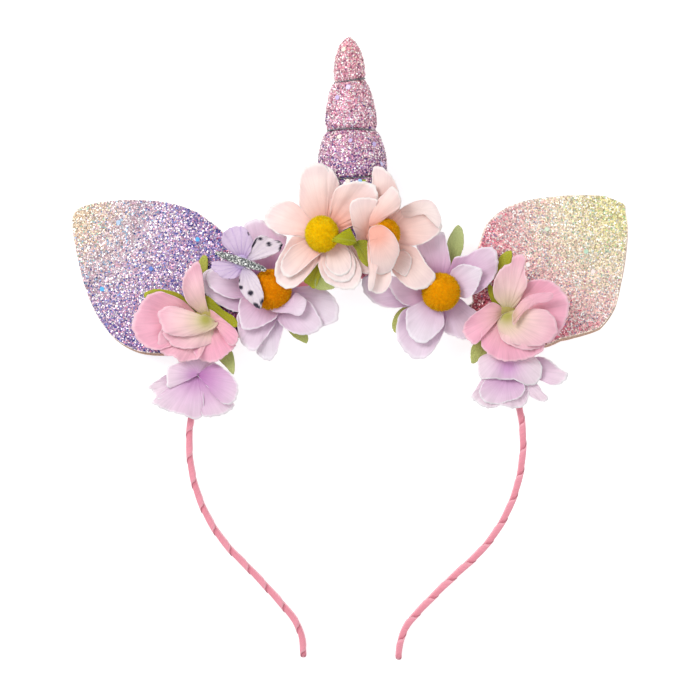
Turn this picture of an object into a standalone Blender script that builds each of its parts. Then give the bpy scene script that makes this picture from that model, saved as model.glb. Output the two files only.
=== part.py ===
"""Unicorn horn headband, lying on its back as it does on a table.

The band stands on the floor with its two tips and leans up to its crown. Its front faces +Z and
the horn points to +Y. The back sheets of the ears lie flat on the floor. The origin is on the
floor, under the middle of the whole headband.
"""
import bpy
import bmesh
from math import cos, pi, radians, sin, tan
from mathutils import Matrix, Vector

# Sizes in this file are in millimetres and degrees. MM turns them into metres.
MM = 0.001
GAP = 0.3                 # clearance between two pieces that touch
FABRIC = 1.0              # stiffened flower fabric, leaf and ear sheet
SHARP_EDGE = 40           # edges sharper than this are shown sharp
MERGE_DISTANCE = 0.00001

# Band: a flat wire wrapped in ribbon. One leg, from the crown down, as arcs.
BAND_WIDTH = 5.0
BAND_THICK = 2.4
BAND_EDGE = 0.7
BAND_HEIGHT = 142.8
BAND_TIPS = Vector((0.3, -115.0, 0.0))
BAND_LEAN = 3.25
BAND_TURN = -1.4
BAND_CROWN_FLAT = 4.0     # half of the straight piece in the middle of the crown
BAND_BEVEL_ANGLE = 60     # edges sharper than this are rounded
BAND_ARCS = (
    # name, length, turn in degrees, straight pieces
    ("crown", 93.6, 90.0, 12),
    ("side", 48.7, 47.0, 6),
    ("lower side", 29.2, -6.1, 4),
    ("flare", 12.5, -36.0, 4),
    ("tip", 6.9, 0.0, 1),
)

# Horn: a stuffed cone of glitter cloth, tied with thread between its sections. Tip first.
HORN_BASE = Vector((2.1, 29.6, 12.35))
HORN_TURN_LEFT = 1.8
HORN_SIDES = 20
HORN_SECTIONS = (
    # name, length, start radius, widest radius, where it is widest, end radius, roundness
    ("tip", 15.9, 0.0, 5.9, 0.85, 5.7, 0.62),
    ("upper", 18.1, 5.7, 9.3, 0.84, 8.9, 0.80),
    ("middle", 17.7, 8.9, 12.8, 0.78, 12.1, 0.85),
    ("root", 34.0, 12.1, 13.2, 0.40, 12.0, 1.0),
)
HORN_STATIONS = (0.0, 0.5, 1.6, 3.6, 7.0, 11.0, 20.0, 24.0, 28.5, 39.0, 43.0, 47.0, 58.0, 66.0, 76.0)
HORN_EDGE_LENGTH = 0.8    # the base's edge is rounded off by this much along the horn
HORN_EDGE_DEPTH = 0.6     # and by this much inward
TIE_RADIUS = 0.35
TIE_SIDES = 5
TIE_GROOVE = 0.8
TIE_GROOVE_HALF = 2.0
TIE_NAMES = ("horn_tie_upper", "horn_tie_middle", "horn_tie_lower")

# Ears: a front and a back sheet of glitter cloth that hold the band between them.
EAR_START = 0.045
EAR_FORM = 0.78           # how full the outline is
EAR_STATIONS = (EAR_START, 0.12, 0.21, 0.32, 0.44, 0.56, 0.68, 0.79, 0.88, 0.945, 0.98, 0.998)
EAR_COLUMNS = 6
EAR_CLEARANCE = 0.05      # more room at the band, for its lean
EAR_CROWN_START = 0.2     # where the sheet starts to bulge, as a share of its length
EAR_BEHIND_BAND = 4.5
EARS = (
    # name, base x, base y, direction, length, half width, base half width
    ("ear_left", -44.4, 9.3, 143.4, 71.2, 28.0, 11.0),
    ("ear_right", 47.0, 10.6, 39.6, 70.0, 28.0, 11.0),
)
EAR_SHEETS = (
    # sheet, side of the band, where it leaves the band, where it is flat, flat height, crown
    ("front", 1.0, 13.0, 50.0, 1.9, 1.3),
    ("back", -1.0, 3.0, 38.0, 0.5, 0.0),
)
EAR_BACK_SHIFT = (0.3, -0.9)

# Flowers: petals of one flower are cut from one cloth and pressed on one hub.
HUB_RADIUS = 4.5
HUB_HEIGHT = 2.0
HUB_SIDES = 10
PETAL_ROOT = 0.50
PETAL_WIDEST = 0.60
PETAL_TIP = 0.36
PETAL_ROUNDNESS = 2.4
PETAL_START = 1.8
PETAL_ROWS = 5
PETAL_COLUMNS = 3

# Petals, one row each: turn is the way it points seen from the front, from +X over +Y, and
# sweep its change of way along the petal. lift is its slope at the hub and curl the change of
# slope. cup bends its edges up, and roll twists it. Degrees and millimetres.
DAISY_PEACH_LEFT = (
    # turn, sweep, length, width, lift, curl, cup, roll
    (93, 0, 26.0, 17.5, 14, -16, 30, -20),
    (163, 0, 25.5, 17.0, 28, -22, 30, 0),
    (228, 6, 27.0, 16.5, 35, 2, 20, 0),
    (289, 6, 26.0, 18.0, 6, -14, 25, 0),
    (50, 0, 12.5, 13.0, -8, -14, 20, 0),
)
DAISY_PEACH_RIGHT = (
    (84, 0, 26.0, 14.0, 12, -10, 50, 25),
    (132, 0, 14.5, 14.0, 16, -10, 30, 0),
    (267, 0, 25.5, 16.0, 32, -34, 30, 0),
    (22, 0, 26.5, 18.5, 24, -12, 35, 0),
    (322, 0, 28.0, 17.0, 40, -18, 28, 0),
)
DAISY_LILAC_LEFT = (
    (109, 0, 23.5, 16.0, 8, -8, 30, 0),
    (174, 0, 25.0, 15.5, 9, -8, 30, 0),
    (240, 0, 25.0, 16.0, 14, -12, 30, 0),
    (272, 0, 26.5, 13.0, 5, -8, 25, 0),
    (334, 0, 26.5, 17.0, 10, -8, 30, 0),
)
DAISY_LILAC_RIGHT = (
    (98, 0, 22.0, 14.5, 9, -6, 30, 0),
    (28, 0, 24.5, 17.5, 12, -8, 30, 0),
    (308, 0, 20.5, 14.5, 8, -6, 30, 0),
    (246, 0, 27.0, 18.0, 12, -10, 35, 0),
    (181, 0, 27.0, 15.0, 7, -8, 25, 0),
)
SWEET_PEA_LEFT = (
    (103, 0, 22.5, 10.0, 18, -8, 50, 0),
    (181, 0, 28.0, 22.0, 20, -24, 28, 0),
    (222, 0, 21.0, 17.0, 30, -30, 30, 0),
    (264, 0, 17.5, 20.0, 32, -30, 30, 0),
    (318, 0, 11.5, 10.0, 42, -30, 35, 0),
)
SWEET_PEA_RIGHT = (
    (80, 0, 22.5, 14.0, 22, -14, 40, 0),
    (6, 0, 23.5, 22.5, 16, -18, 30, 0),
    (338, 0, 19.0, 14.0, 46, -50, 30, 0),
    (270, 0, 18.5, 22.0, 30, -30, 30, 0),
    (207, 0, 19.5, 15.0, 22, -20, 35, 0),
)
BELL_LEFT = (
    (96, 0, 8.0, 18.0, 22, -16, 30, 0),
    (4, 0, 16.0, 16.5, 26, -26, 35, 0),
    (322, 0, 19.0, 16.0, 24, -30, 30, 0),
    (280, 0, 17.0, 16.0, 28, -32, 30, 0),
    (217, 0, 19.5, 13.0, 20, -26, 30, 0),
    (193, 0, 18.5, 9.0, 20, -18, 40, 0),
)
BELL_RIGHT = (
    (176, 0, 12.5, 12.0, 26, -24, 35, 0),
    (120, 0, 8.0, 14.0, 24, -16, 30, 0),
    (346, 0, 22.5, 12.0, 18, -22, 40, 0),
    (314, 0, 18.5, 8.0, 22, -28, 35, 0),
    (276, 0, 16.5, 15.0, 28, -32, 30, 0),
    (240, 0, 19.5, 15.0, 24, -28, 30, 0),
)
BAND_FLOWERS = (
    # name, x, y, height of the hub's underside over the band, pompom radius, petals
    ("daisy_lilac_left", -28.9, 22.2, 0.5, 7.8, DAISY_LILAC_LEFT),
    ("daisy_lilac_right", 33.4, 21.3, 0.5, 7.4, DAISY_LILAC_RIGHT),
    ("sweet_pea_left", -52.9, 11.1, 3.8, 0.0, SWEET_PEA_LEFT),
    ("sweet_pea_right", 57.5, 12.6, 3.8, 0.0, SWEET_PEA_RIGHT),
    ("bell_left", -57.4, -9.6, 0.5, 0.0, BELL_LEFT),
    ("bell_right", 58.2, -6.2, 0.5, 0.0, BELL_RIGHT),
)
HORN_FLOWERS = (
    # name, distance from the horn's tip, angle round the horn, pompom radius, petals
    ("daisy_peach_left", 71.6, -35.0, 6.8, DAISY_PEACH_LEFT),
    ("daisy_peach_right", 72.3, 35.0, 5.7, DAISY_PEACH_RIGHT),
)
POMPOM_SQUASH = 0.74
POMPOM_TUFT = 1.0

# Leaves: each is one pointed sheet, laid under a hub, on the band or on an ear.
LEAF_ROWS = 4
LEAF_COLUMNS = 2
LEAF_CUP = 10
LEAF_ROOT = 0.08          # where the root is cut off, as a share of the whole leaf
LEAF_FORM = 0.9
LEAF_TIP = 0.12
LEAVES = (
    # name, base x, base y, height over the band, turn, length, width, lift
    ("leaf_1", -53.8, 15.0, 2.5, 93, 20.5, 6.0, 2),
    ("leaf_2", -55.5, 11.8, 2.5, 161, 21.5, 10.0, 2),
    ("leaf_3", -51.0, 8.0, 2.5, 297, 18.0, 7.0, 0),
    ("leaf_4", -12.0, 27.3, 1.0, 200, 11.0, 6.0, 56),
    ("leaf_5", -27.0, 18.6, -0.5, 298, 21.0, 6.5, 0),
    ("leaf_6", 34.0, 24.5, -0.6, 76, 22.0, 7.0, 0),
    ("leaf_7", 30.8, 17.7, -0.5, 213, 18.5, 6.0, 0),
    ("leaf_8", 58.0, 17.0, 2.5, 95, 19.5, 7.5, 2),
    ("leaf_9", 54.0, 9.6, 2.3, 222, 14.0, 7.0, 0),
    ("leaf_10", 54.0, 15.6, 2.5, 150, 9.5, 6.0, 0),
    ("leaf_11", 4.6, 37.0, 18.8, 160, 10.0, 6.5, 14),
    ("leaf_12", -5.5, 27.6, 1.0, 235, 9.5, 5.5, 52),
)

# Butterfly: a sheet of four wings with a spindle of glitter paste on it.
BUTTERFLY = Vector((-39.9, 32.4, 24.4))
BUTTERFLY_BODY_TURN = -19.0
BUTTERFLY_BODY_LENGTH = 20.0
BUTTERFLY_BODY_RADIUS = 1.3
BUTTERFLY_BODY_SIDES = 8
BUTTERFLY_BODY_STATIONS = (0.03, 0.12, 0.3, 0.5, 0.7, 0.88, 0.97)
BUTTERFLY_WINGS = (
    # turn, sweep, length, width, lift, curl, cup, roll
    (128, 0, 15.5, 11.5, 8, -4, 5, 0),
    (28, 0, 15.0, 9.0, 4, -4, 5, 0),
    (202, 0, 12.5, 8.5, 2, -2, 5, 0),
    (291, 0, 18.5, 9.5, 12, -6, 5, 0),
)
WING_HUB_RADIUS = 2.6
WING_HUB_HEIGHT = 1.6
WING_START = 0.5


def band_height(y):
    """Height of the band's middle, which leans up from its tips to its crown."""
    return BAND_WIDTH / 2 + (y - BAND_TIPS.y) * tan(radians(BAND_LEAN))


def band_top(y):
    return band_height(y) + BAND_WIDTH / 2 / cos(radians(BAND_LEAN))


def ease(t):
    """Smooth step from 0 to 1, level at both ends."""
    t = min(max(t, 0.0), 1.0)
    return t * t * (3 - 2 * t)


def clear_scene():
    for item in list(bpy.data.objects):
        bpy.data.objects.remove(item, do_unlink=True)


def new_collection(name, parent):
    collection = bpy.data.collections.new(name)
    parent.children.link(collection)
    return collection


def new_material(name, colour, roughness, metallic=0.0):
    material = bpy.data.materials.new(name)
    material.use_nodes = True
    shader = material.node_tree.nodes["Principled BSDF"]
    shader.inputs["Base Color"].default_value = (*colour, 1.0)
    shader.inputs["Roughness"].default_value = roughness
    shader.inputs["Metallic"].default_value = metallic
    return material


def add_mesh(name, bm, collection, material):
    mesh = bpy.data.meshes.new(name)
    bm.to_mesh(mesh)
    bm.free()
    mesh.materials.append(material)
    mesh.shade_smooth()
    mesh.set_sharp_from_angle(angle=radians(SHARP_EDGE))
    item = bpy.data.objects.new(name, mesh)
    collection.objects.link(item)
    return item


def sheet_mesh(rows):
    """An open sheet from rows of points in millimetres."""
    bm = bmesh.new()
    grid = [[bm.verts.new(point * MM) for point in row] for row in rows]
    for low, high in zip(grid, grid[1:]):
        for a, b, c, d in zip(low, high, high[1:], low[1:]):
            bm.faces.new((a, b, c, d))
    bmesh.ops.recalc_face_normals(bm, faces=bm.faces)
    return bm


def solidify(item, thickness):
    modifier = item.modifiers.new("thickness", "SOLIDIFY")
    modifier.thickness = thickness * MM
    modifier.offset = 0.0
    modifier.use_even_offset = True


def band_path():
    """Points of the band's middle line, from the left tip over the crown to the right tip."""
    x, y, heading = BAND_CROWN_FLAT, BAND_HEIGHT, 0.0
    leg = [Vector((x, y, 0))]
    for name, length, turn, pieces in BAND_ARCS:
        for piece in range(pieces):
            heading -= radians(turn / pieces / 2)
            x += length / pieces * cos(heading)
            y += length / pieces * sin(heading)
            leg.append(Vector((x, y, 0)))
            heading -= radians(turn / pieces / 2)
    return [Vector((-p.x, p.y, 0)) for p in reversed(leg)] + leg


def make_band(collection, material):
    half = Vector((0, 0, BAND_WIDTH / 2))
    band = add_mesh("band", sheet_mesh([(p - half, p + half) for p in band_path()]),
                    collection, material)
    band.location = (BAND_TIPS + half) * MM
    band.rotation_euler = (radians(BAND_LEAN), 0, radians(BAND_TURN))
    solidify(band, BAND_THICK)
    edge = band.modifiers.new("rounded edges", "BEVEL")
    edge.width = BAND_EDGE * MM
    edge.segments = 1
    edge.limit_method = "ANGLE"
    edge.angle_limit = radians(BAND_BEVEL_ANGLE)


def horn_length():
    return sum(section[1] for section in HORN_SECTIONS)


def horn_radius(distance):
    """Radius of the horn at a distance from its tip, without the grooves of the ties."""
    for name, length, start, widest, where, end, roundness in HORN_SECTIONS:
        if distance <= length:
            t = distance / length
            if t < where:
                return start + (widest - start) * sin(pi / 2 * (t / where) ** roundness)
            return widest + (end - widest) * (1 - cos(pi / 2 * (t - where) / (1 - where)))
        distance -= length
    return HORN_SECTIONS[-1][5]


def tie_distances():
    """Distances of the ties from the tip: one at the end of each section but the last."""
    ends, total = [], 0.0
    for section in HORN_SECTIONS[:-1]:
        total += section[1]
        ends.append(total)
    return ends


def horn_matrix():
    """Frame of the horn: +Z runs from its base to its tip, +X to its right, -Y to the front."""
    lean = Matrix.Rotation(radians(BAND_LEAN), 4, "X")
    aside = Matrix.Rotation(radians(HORN_TURN_LEFT), 4, "Z")
    upright = Matrix.Rotation(radians(-90), 4, "X")
    return Matrix.Translation(HORN_BASE * MM) @ lean @ aside @ upright


def horn_profile():
    """Half section of the horn from its tip down to its base, as (radius, height)."""
    length = horn_length()
    ties = tie_distances()
    stations = [*HORN_STATIONS, length - HORN_EDGE_LENGTH, length]
    for tie in ties:
        stations += [tie - TIE_GROOVE_HALF, tie, tie + TIE_GROOVE_HALF]
    profile = []
    for distance in sorted(stations):
        radius = horn_radius(distance)
        if distance in ties:
            radius -= TIE_GROOVE
        if distance == length:
            radius -= HORN_EDGE_DEPTH
        profile.append((radius, length - distance))
    return profile + [(0.0, 0.0)]


def turned(name, profile, sides, collection, material, matrix):
    """A turned body: the profile runs down the +X side and is screwed round Z."""
    bm = bmesh.new()
    verts = [bm.verts.new((radius * MM, 0, height * MM)) for radius, height in profile]
    for a, b in zip(verts, verts[1:]):
        bm.edges.new((a, b))
    item = add_mesh(name, bm, collection, material)
    item.matrix_world = matrix
    screw = item.modifiers.new("turn", "SCREW")
    screw.steps = sides
    screw.render_steps = sides
    screw.use_merge_vertices = True
    screw.merge_threshold = MERGE_DISTANCE
    return item


def make_horn(collection, cloth, thread):
    turned("horn", horn_profile(), HORN_SIDES, collection, cloth, horn_matrix())
    for name, distance in zip(TIE_NAMES, tie_distances()):
        ring = horn_radius(distance) - TIE_GROOVE + GAP + TIE_RADIUS
        height = horn_length() - distance
        turns = [2 * pi * side / TIE_SIDES for side in range(TIE_SIDES + 1)]
        profile = [(ring + TIE_RADIUS * sin(a), height + TIE_RADIUS * cos(a)) for a in turns]
        turned(name, profile, HORN_SIDES, collection, thread, horn_matrix())


def ear_half_width(u, widest):
    """Half width of an ear sheet at u, a share of its length."""
    return widest * sin(pi * u ** EAR_FORM) ** EAR_FORM


def ear_rows(base, direction, length, widest, root, side, leave, flat, flat_height, crown):
    """Rows of one ear sheet, from behind the band out to the tip."""
    along = Vector((cos(radians(direction)), sin(radians(direction)), 0))
    across = Vector((-along.y, along.x, 0))
    rows = []
    for u in (-EAR_BEHIND_BAND / length, *EAR_STATIONS):
        half = max(ear_half_width(max(u, EAR_START), widest), root)
        if u > 0.5:
            half = ear_half_width(u, widest)
        row = []
        for column in range(EAR_COLUMNS + 1):
            v = 2 * column / EAR_COLUMNS - 1
            point = base + along * (u * length) + across * (half * v)
            room = BAND_WIDTH / 2 + GAP + FABRIC / 2 + EAR_CLEARANCE
            held = band_height(point.y) + side * room
            share = ease((u * length - leave) / (flat - leave))
            bulge = ease((u - EAR_CROWN_START) / (1 - EAR_CROWN_START))
            bulge = crown * (1 - v * v) * sin(pi * bulge)
            point.z = held + (flat_height - held) * share + bulge
            row.append(point)
        rows.append(row)
    return rows


def make_ears(collection, materials):
    for name, x, y, direction, length, widest, root in EARS:
        for sheet, side, leave, flat, flat_height, crown in EAR_SHEETS:
            base = Vector((x, y, 0))
            if sheet == "back":
                base += Vector((*EAR_BACK_SHIFT, 0))
            rows = ear_rows(base, direction, length, widest, root, side, leave, flat,
                            flat_height, crown)
            item = add_mesh(name + "_" + sheet, sheet_mesh(rows), collection, materials[sheet])
            solidify(item, FABRIC)


def petal_half_width(u):
    """Share of a petal's half width at u: narrow root, widest past the middle, round tip."""
    if u < PETAL_WIDEST:
        return PETAL_ROOT + (1 - PETAL_ROOT) * sin(pi / 2 * u / PETAL_WIDEST)
    t = (u - PETAL_WIDEST) / (1 - PETAL_WIDEST)
    return max((1 - t ** PETAL_ROUNDNESS) ** 0.5, PETAL_TIP)


def leaf_half_width(u):
    """Share of a leaf's half width at u: cut off at the root, pointed at the tip."""
    return max(sin(pi * (LEAF_ROOT + (1 - LEAF_ROOT) * u) ** LEAF_FORM), LEAF_TIP)


def blade_rows(start, petal, half_width, row_count, column_count):
    """Rows of a petal, wing or leaf that leaves start in the direction turn."""
    turn, sweep, length, width, lift, curl, cup, roll = petal
    point = start.copy()
    bend = radians(cup)
    rows = []
    for index in range(row_count + 1):
        u = index / row_count
        heading = radians(turn + sweep * u)
        rise = radians(lift + curl * u)
        forward = Vector((cos(rise) * cos(heading), cos(rise) * sin(heading), sin(rise)))
        twist = Matrix.Rotation(radians(roll * u), 3, forward)
        side = twist @ Vector((-sin(heading), cos(heading), 0))
        up = forward.cross(side)
        half = width / 2 * half_width(u)
        row = []
        for column in range(column_count + 1):
            v = 2 * column / column_count - 1
            row.append(point + side * (half * sin(bend * v) / bend)
                       + up * (half * (1 - cos(bend * v)) / bend))
        rows.append(row)
        point = point + forward * (length / row_count)
    return rows


def make_cluster(name, matrix, radius, height, petals, start, collection, cutters, material):
    """Petals or wings joined to a flat hub, as one body."""
    blades = new_collection(name + "_blades", cutters)
    for index, petal in enumerate(petals):
        turn = radians(petal[0])
        root = Vector((start * cos(turn), start * sin(turn), height / 2))
        rows = blade_rows(root, petal, petal_half_width, PETAL_ROWS, PETAL_COLUMNS)
        blade = add_mesh(name + "_blade_" + str(index + 1), sheet_mesh(rows), blades, material)
        blade.matrix_world = matrix
        blade.hide_render = True
        blade.display_type = "WIRE"
        solidify(blade, FABRIC)
    bm = bmesh.new()
    bmesh.ops.create_cone(bm, cap_ends=True, segments=HUB_SIDES, radius1=radius * MM,
                          radius2=radius * MM, depth=height * MM,
                          matrix=Matrix.Translation((0, 0, height / 2 * MM)))
    hub = add_mesh(name, bm, collection, material)
    hub.matrix_world = matrix
    join = hub.modifiers.new("petals", "BOOLEAN")
    join.operation = "UNION"
    join.operand_type = "COLLECTION"
    join.collection = blades


def make_pompom(name, matrix, radius, collection, material):
    """A round head of yarn with its outer form in short tufts."""
    bm = bmesh.new()
    bmesh.ops.create_icosphere(bm, subdivisions=2, radius=(radius - POMPOM_TUFT) * MM)
    bmesh.ops.poke(bm, faces=bm.faces[:], offset=POMPOM_TUFT * MM)
    bmesh.ops.scale(bm, vec=(1, 1, POMPOM_SQUASH), verts=bm.verts[:])
    centre = HUB_HEIGHT + GAP + radius * POMPOM_SQUASH
    bmesh.ops.translate(bm, vec=(0, 0, centre * MM), verts=bm.verts[:])
    pompom = add_mesh(name, bm, collection, material)
    pompom.matrix_world = matrix


def horn_seat(distance, angle):
    """Frame on the horn's skin whose +Z points away from the horn, angle from the front."""
    out = Matrix.Rotation(radians(angle), 4, "Z") @ Matrix.Rotation(radians(90), 4, "X")
    height = (horn_length() - distance) * MM
    lift = (horn_radius(distance) + GAP) * MM
    seat = horn_matrix() @ Matrix.Translation((0, 0, height)) @ out
    return seat @ Matrix.Translation((0, 0, lift))


def make_flowers(collection, cutters, materials):
    places = []
    for name, x, y, height, pompom, petals in BAND_FLOWERS:
        seat = Vector((x, y, band_top(y) + height)) * MM
        places.append((name, Matrix.Translation(seat), pompom, petals))
    for name, distance, angle, pompom, petals in HORN_FLOWERS:
        places.append((name, horn_seat(distance, angle), pompom, petals))
    for name, matrix, pompom, petals in places:
        kind = name.rsplit("_", 1)[0]
        make_cluster(name, matrix, HUB_RADIUS, HUB_HEIGHT, petals, PETAL_START, collection,
                     cutters, materials[kind])
        if pompom:
            make_pompom(name + "_pompom", matrix, pompom, collection, materials["pompom"])


def make_leaves(collection, material):
    for name, x, y, height, turn, length, width, lift in LEAVES:
        start = Vector((x, y, band_top(y) + height))
        blade = (turn, 0, length, width, lift, 0, LEAF_CUP, 0)
        rows = blade_rows(start, blade, leaf_half_width, LEAF_ROWS, LEAF_COLUMNS)
        solidify(add_mesh(name, sheet_mesh(rows), collection, material), FABRIC)


def make_butterfly(collection, cutters, wings, glitter):
    matrix = Matrix.Translation(BUTTERFLY * MM)
    make_cluster("butterfly_wings", matrix, WING_HUB_RADIUS, WING_HUB_HEIGHT, BUTTERFLY_WINGS,
                 WING_START, collection, cutters, wings)
    length, radius = BUTTERFLY_BODY_LENGTH, BUTTERFLY_BODY_RADIUS
    profile = [(radius * sin(pi * t) ** 0.5, length * (0.5 - t)) for t in BUTTERFLY_BODY_STATIONS]
    profile = [(0.0, length / 2), *profile, (0.0, -length / 2)]
    lie = Matrix.Rotation(radians(BUTTERFLY_BODY_TURN), 4, "Z") @ Matrix.Rotation(pi / 2, 4, "Y")
    rise = Matrix.Translation((0, 0, (WING_HUB_HEIGHT + GAP + radius) * MM))
    turned("butterfly_body", profile, BUTTERFLY_BODY_SIDES, collection, glitter,
           matrix @ rise @ lie)


def main():
    clear_scene()
    scene_root = bpy.context.scene.collection
    parts = new_collection("unicorn_horn_headband", scene_root)
    cutters = new_collection("joined_petals", scene_root)

    ribbon = new_material("dusty pink ribbon", (0.70, 0.24, 0.33), 0.45)
    horn_cloth = new_material("pink glitter cloth", (0.72, 0.36, 0.55), 0.35, 0.3)
    thread = new_material("dark silver thread", (0.30, 0.30, 0.32), 0.4, 0.8)
    ear_cloths = {
        "front": new_material("pastel glitter cloth", (0.74, 0.60, 0.72), 0.4, 0.2),
        "back": new_material("beige felt", (0.80, 0.68, 0.60), 0.9),
    }
    flower_cloths = {
        "daisy_peach": new_material("peach petal", (0.95, 0.72, 0.66), 0.8),
        "daisy_lilac": new_material("lilac petal", (0.68, 0.55, 0.86), 0.8),
        "sweet_pea": new_material("pink petal", (0.92, 0.48, 0.62), 0.8),
        "bell": new_material("lilac white petal", (0.84, 0.70, 0.90), 0.8),
        "pompom": new_material("yellow yarn", (0.90, 0.55, 0.02), 0.95),
    }
    leaf_cloth = new_material("green leaf", (0.28, 0.38, 0.12), 0.7)
    wing_sheet = new_material("lilac wing", (0.80, 0.70, 0.90), 0.5)
    silver = new_material("silver glitter", (0.62, 0.63, 0.66), 0.3, 0.8)

    make_band(parts, ribbon)
    make_horn(parts, horn_cloth, thread)
    make_ears(parts, ear_cloths)
    make_flowers(parts, cutters, flower_cloths)
    make_leaves(parts, leaf_cloth)
    make_butterfly(parts, cutters, wing_sheet, silver)


main()
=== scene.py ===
# Unicorn horn headband: a ribbon-wound band with two glitter ears, a stuffed glitter horn, silk
# flowers, leaves and a butterfly. It lies on its back on a pale table, seen from straight above.
# Sizes are in millimetres and degrees, and MM turns them into metres.
from math import cos, pi, radians, sin, tan
import bpy
import bmesh
import numpy as np
from mathutils import Matrix, Vector


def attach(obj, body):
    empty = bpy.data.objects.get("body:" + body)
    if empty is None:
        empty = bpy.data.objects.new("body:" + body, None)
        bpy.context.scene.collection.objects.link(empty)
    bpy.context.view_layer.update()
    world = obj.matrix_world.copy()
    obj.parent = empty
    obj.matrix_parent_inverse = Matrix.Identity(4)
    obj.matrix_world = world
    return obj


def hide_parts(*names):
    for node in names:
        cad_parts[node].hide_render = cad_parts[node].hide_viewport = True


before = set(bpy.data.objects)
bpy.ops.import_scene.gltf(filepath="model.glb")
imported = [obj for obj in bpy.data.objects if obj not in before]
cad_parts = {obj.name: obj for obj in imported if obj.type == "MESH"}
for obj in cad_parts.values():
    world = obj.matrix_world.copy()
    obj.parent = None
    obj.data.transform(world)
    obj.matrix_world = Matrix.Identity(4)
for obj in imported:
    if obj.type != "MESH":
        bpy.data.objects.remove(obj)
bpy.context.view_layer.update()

MM = 0.001
BAND_WIDTH = 5.0
BAND_THICK = 2.4
BAND_HEIGHT = 142.8    # from the tips to the crown
BAND_TIPS = (0.3, -115.0, 0.0)
BAND_LEAN = 3.25
BAND_TURN = -1.4
BAND_ARCS = (
    # name, length, turn in degrees, from the crown down one leg
    ("crown", 97.6, 90.0),
    ("side", 48.7, 47.0),
    ("lower side", 29.2, -6.1),
    ("flare", 12.5, -36.0),
    ("tip", 4.5, 0.0),
)
BAND_GRAIN = 0.5       # distance between the points of the band's line
RIBBON_TURN = 9.6      # how far one turn of the ribbon advances
RIBBON_LAP = 0.16      # share of a turn that lies over the turn before
RIBBON_RISE = 0.30
RIBBON_ROUND_END = 1.3
RIBBON_SQUARE = 4.0    # power of the cross section's rounded corners
RIBBON_ACROSS = 9
RIBBON_AROUND = 28
RIBBON_CLOTH = 0.16
RIBBON_START = -1.3    # turns before the first tip at which the winding starts
RIBBON_FLAT = 14.0     # how long one turn of the ribbon is in its flat map


def srgb(red, green, blue):
    """A colour given as 0 to 255 in the usual screen scale, as linear light for a shader."""
    parts = [value / 255 for value in (red, green, blue)]
    return tuple(c / 12.92 if c <= 0.04045 else ((c + 0.055) / 1.055) ** 2.4 for c in parts)


def add_node(tree, kind, inputs=None, **settings):
    """A shader node; each input gets a plain value or a link from another node's output."""
    made = tree.nodes.new("ShaderNode" + kind)
    for name, value in settings.items():
        setattr(made, name, value)
    for name, value in (inputs or {}).items():
        if isinstance(value, bpy.types.NodeSocket):
            tree.links.new(value, made.inputs[name])
        else:
            made.inputs[name].default_value = value
    return made


def blend(tree, share, first, second, how="MIX"):
    """Output of a colour mix: first where share is 0 and second where it is 1."""
    made = tree.nodes.new("ShaderNodeMix")
    made.data_type = "RGBA"
    made.blend_type = how
    made.clamp_factor = True
    for socket, value in ((0, share), (6, first), (7, second)):
        if isinstance(value, bpy.types.NodeSocket):
            tree.links.new(value, made.inputs[socket])
        elif socket == 0:
            made.inputs[socket].default_value = value
        else:
            made.inputs[socket].default_value = (*value, 1.0)
    return made.outputs[2]


def ramp(tree, share, stops):
    """Output of a colour ramp with stops given as (place, linear colour)."""
    made = add_node(tree, "ValToRGB", {"Fac": share})
    points = made.color_ramp.elements
    while len(points) < len(stops):
        points.new(0.5)
    for point, (place, colour) in zip(points, stops):
        point.position = place
        point.color = (*colour, 1.0)
    return made.outputs["Color"]


def noise(tree, scale, detail=2.0, spot=None, distortion=0.0):
    """Output of a noise, in the piece's own space unless another spot is given."""
    spot = spot or add_node(tree, "TexCoord").outputs["Object"]
    made = add_node(tree, "TexNoise", {"Vector": spot, "Scale": scale, "Detail": detail,
                                       "Distortion": distortion})
    return made.outputs["Fac"]


def shaded(tree, colour, share, stops):
    """The colour times a ramp of tones along a share. A tone is one number or three."""
    tones = [(place, tone if isinstance(tone, tuple) else (tone,) * 3) for place, tone in stops]
    return blend(tree, 1.0, colour, ramp(tree, share, tones), "MULTIPLY")


def paint(tree, shader, colour):
    tree.links.new(colour, shader.inputs["Base Color"])


def press(tree, shader, height, strength, depth):
    """Press a height into the surface, up to a depth in millimetres. Returns its normals."""
    bump = add_node(tree, "Bump", {"Height": height, "Strength": strength, "Distance": depth * MM})
    tree.links.new(bump.outputs["Normal"], shader.inputs["Normal"])
    return bump.outputs["Normal"]


def start_material(name, roughness, metallic=0.0, sheen=0.0, specular=0.5):
    material = bpy.data.materials.new(name)
    material.use_nodes = True
    tree = material.node_tree
    shader = tree.nodes["Principled BSDF"]
    shader.inputs["Roughness"].default_value = roughness
    shader.inputs["Metallic"].default_value = metallic
    shader.inputs["Sheen Weight"].default_value = sheen
    shader.inputs["Specular IOR Level"].default_value = specular
    return material, tree, shader


def read_cloth(tree):
    """The flat map of the cloth, about in millimetres."""
    return add_node(tree, "UVMap", uv_map="cloth").outputs["UV"]


def read_place(tree):
    """The three shares that each point carries in its attribute named place."""
    place = add_node(tree, "Attribute", attribute_name="place")
    split = add_node(tree, "SeparateColor", {"Color": place.outputs["Color"]})
    return split.outputs["Red"], split.outputs["Green"], split.outputs["Blue"]


def grid_faces(rows, columns, round_closed=False):
    """Quads of a grid of points that runs row by row."""
    faces = []
    for row in range(rows - 1):
        low = row * columns
        for column in range(columns if round_closed else columns - 1):
            after = (column + 1) % columns
            faces.append((low + column, low + after, low + columns + after, low + columns + column))
    return faces


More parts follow.
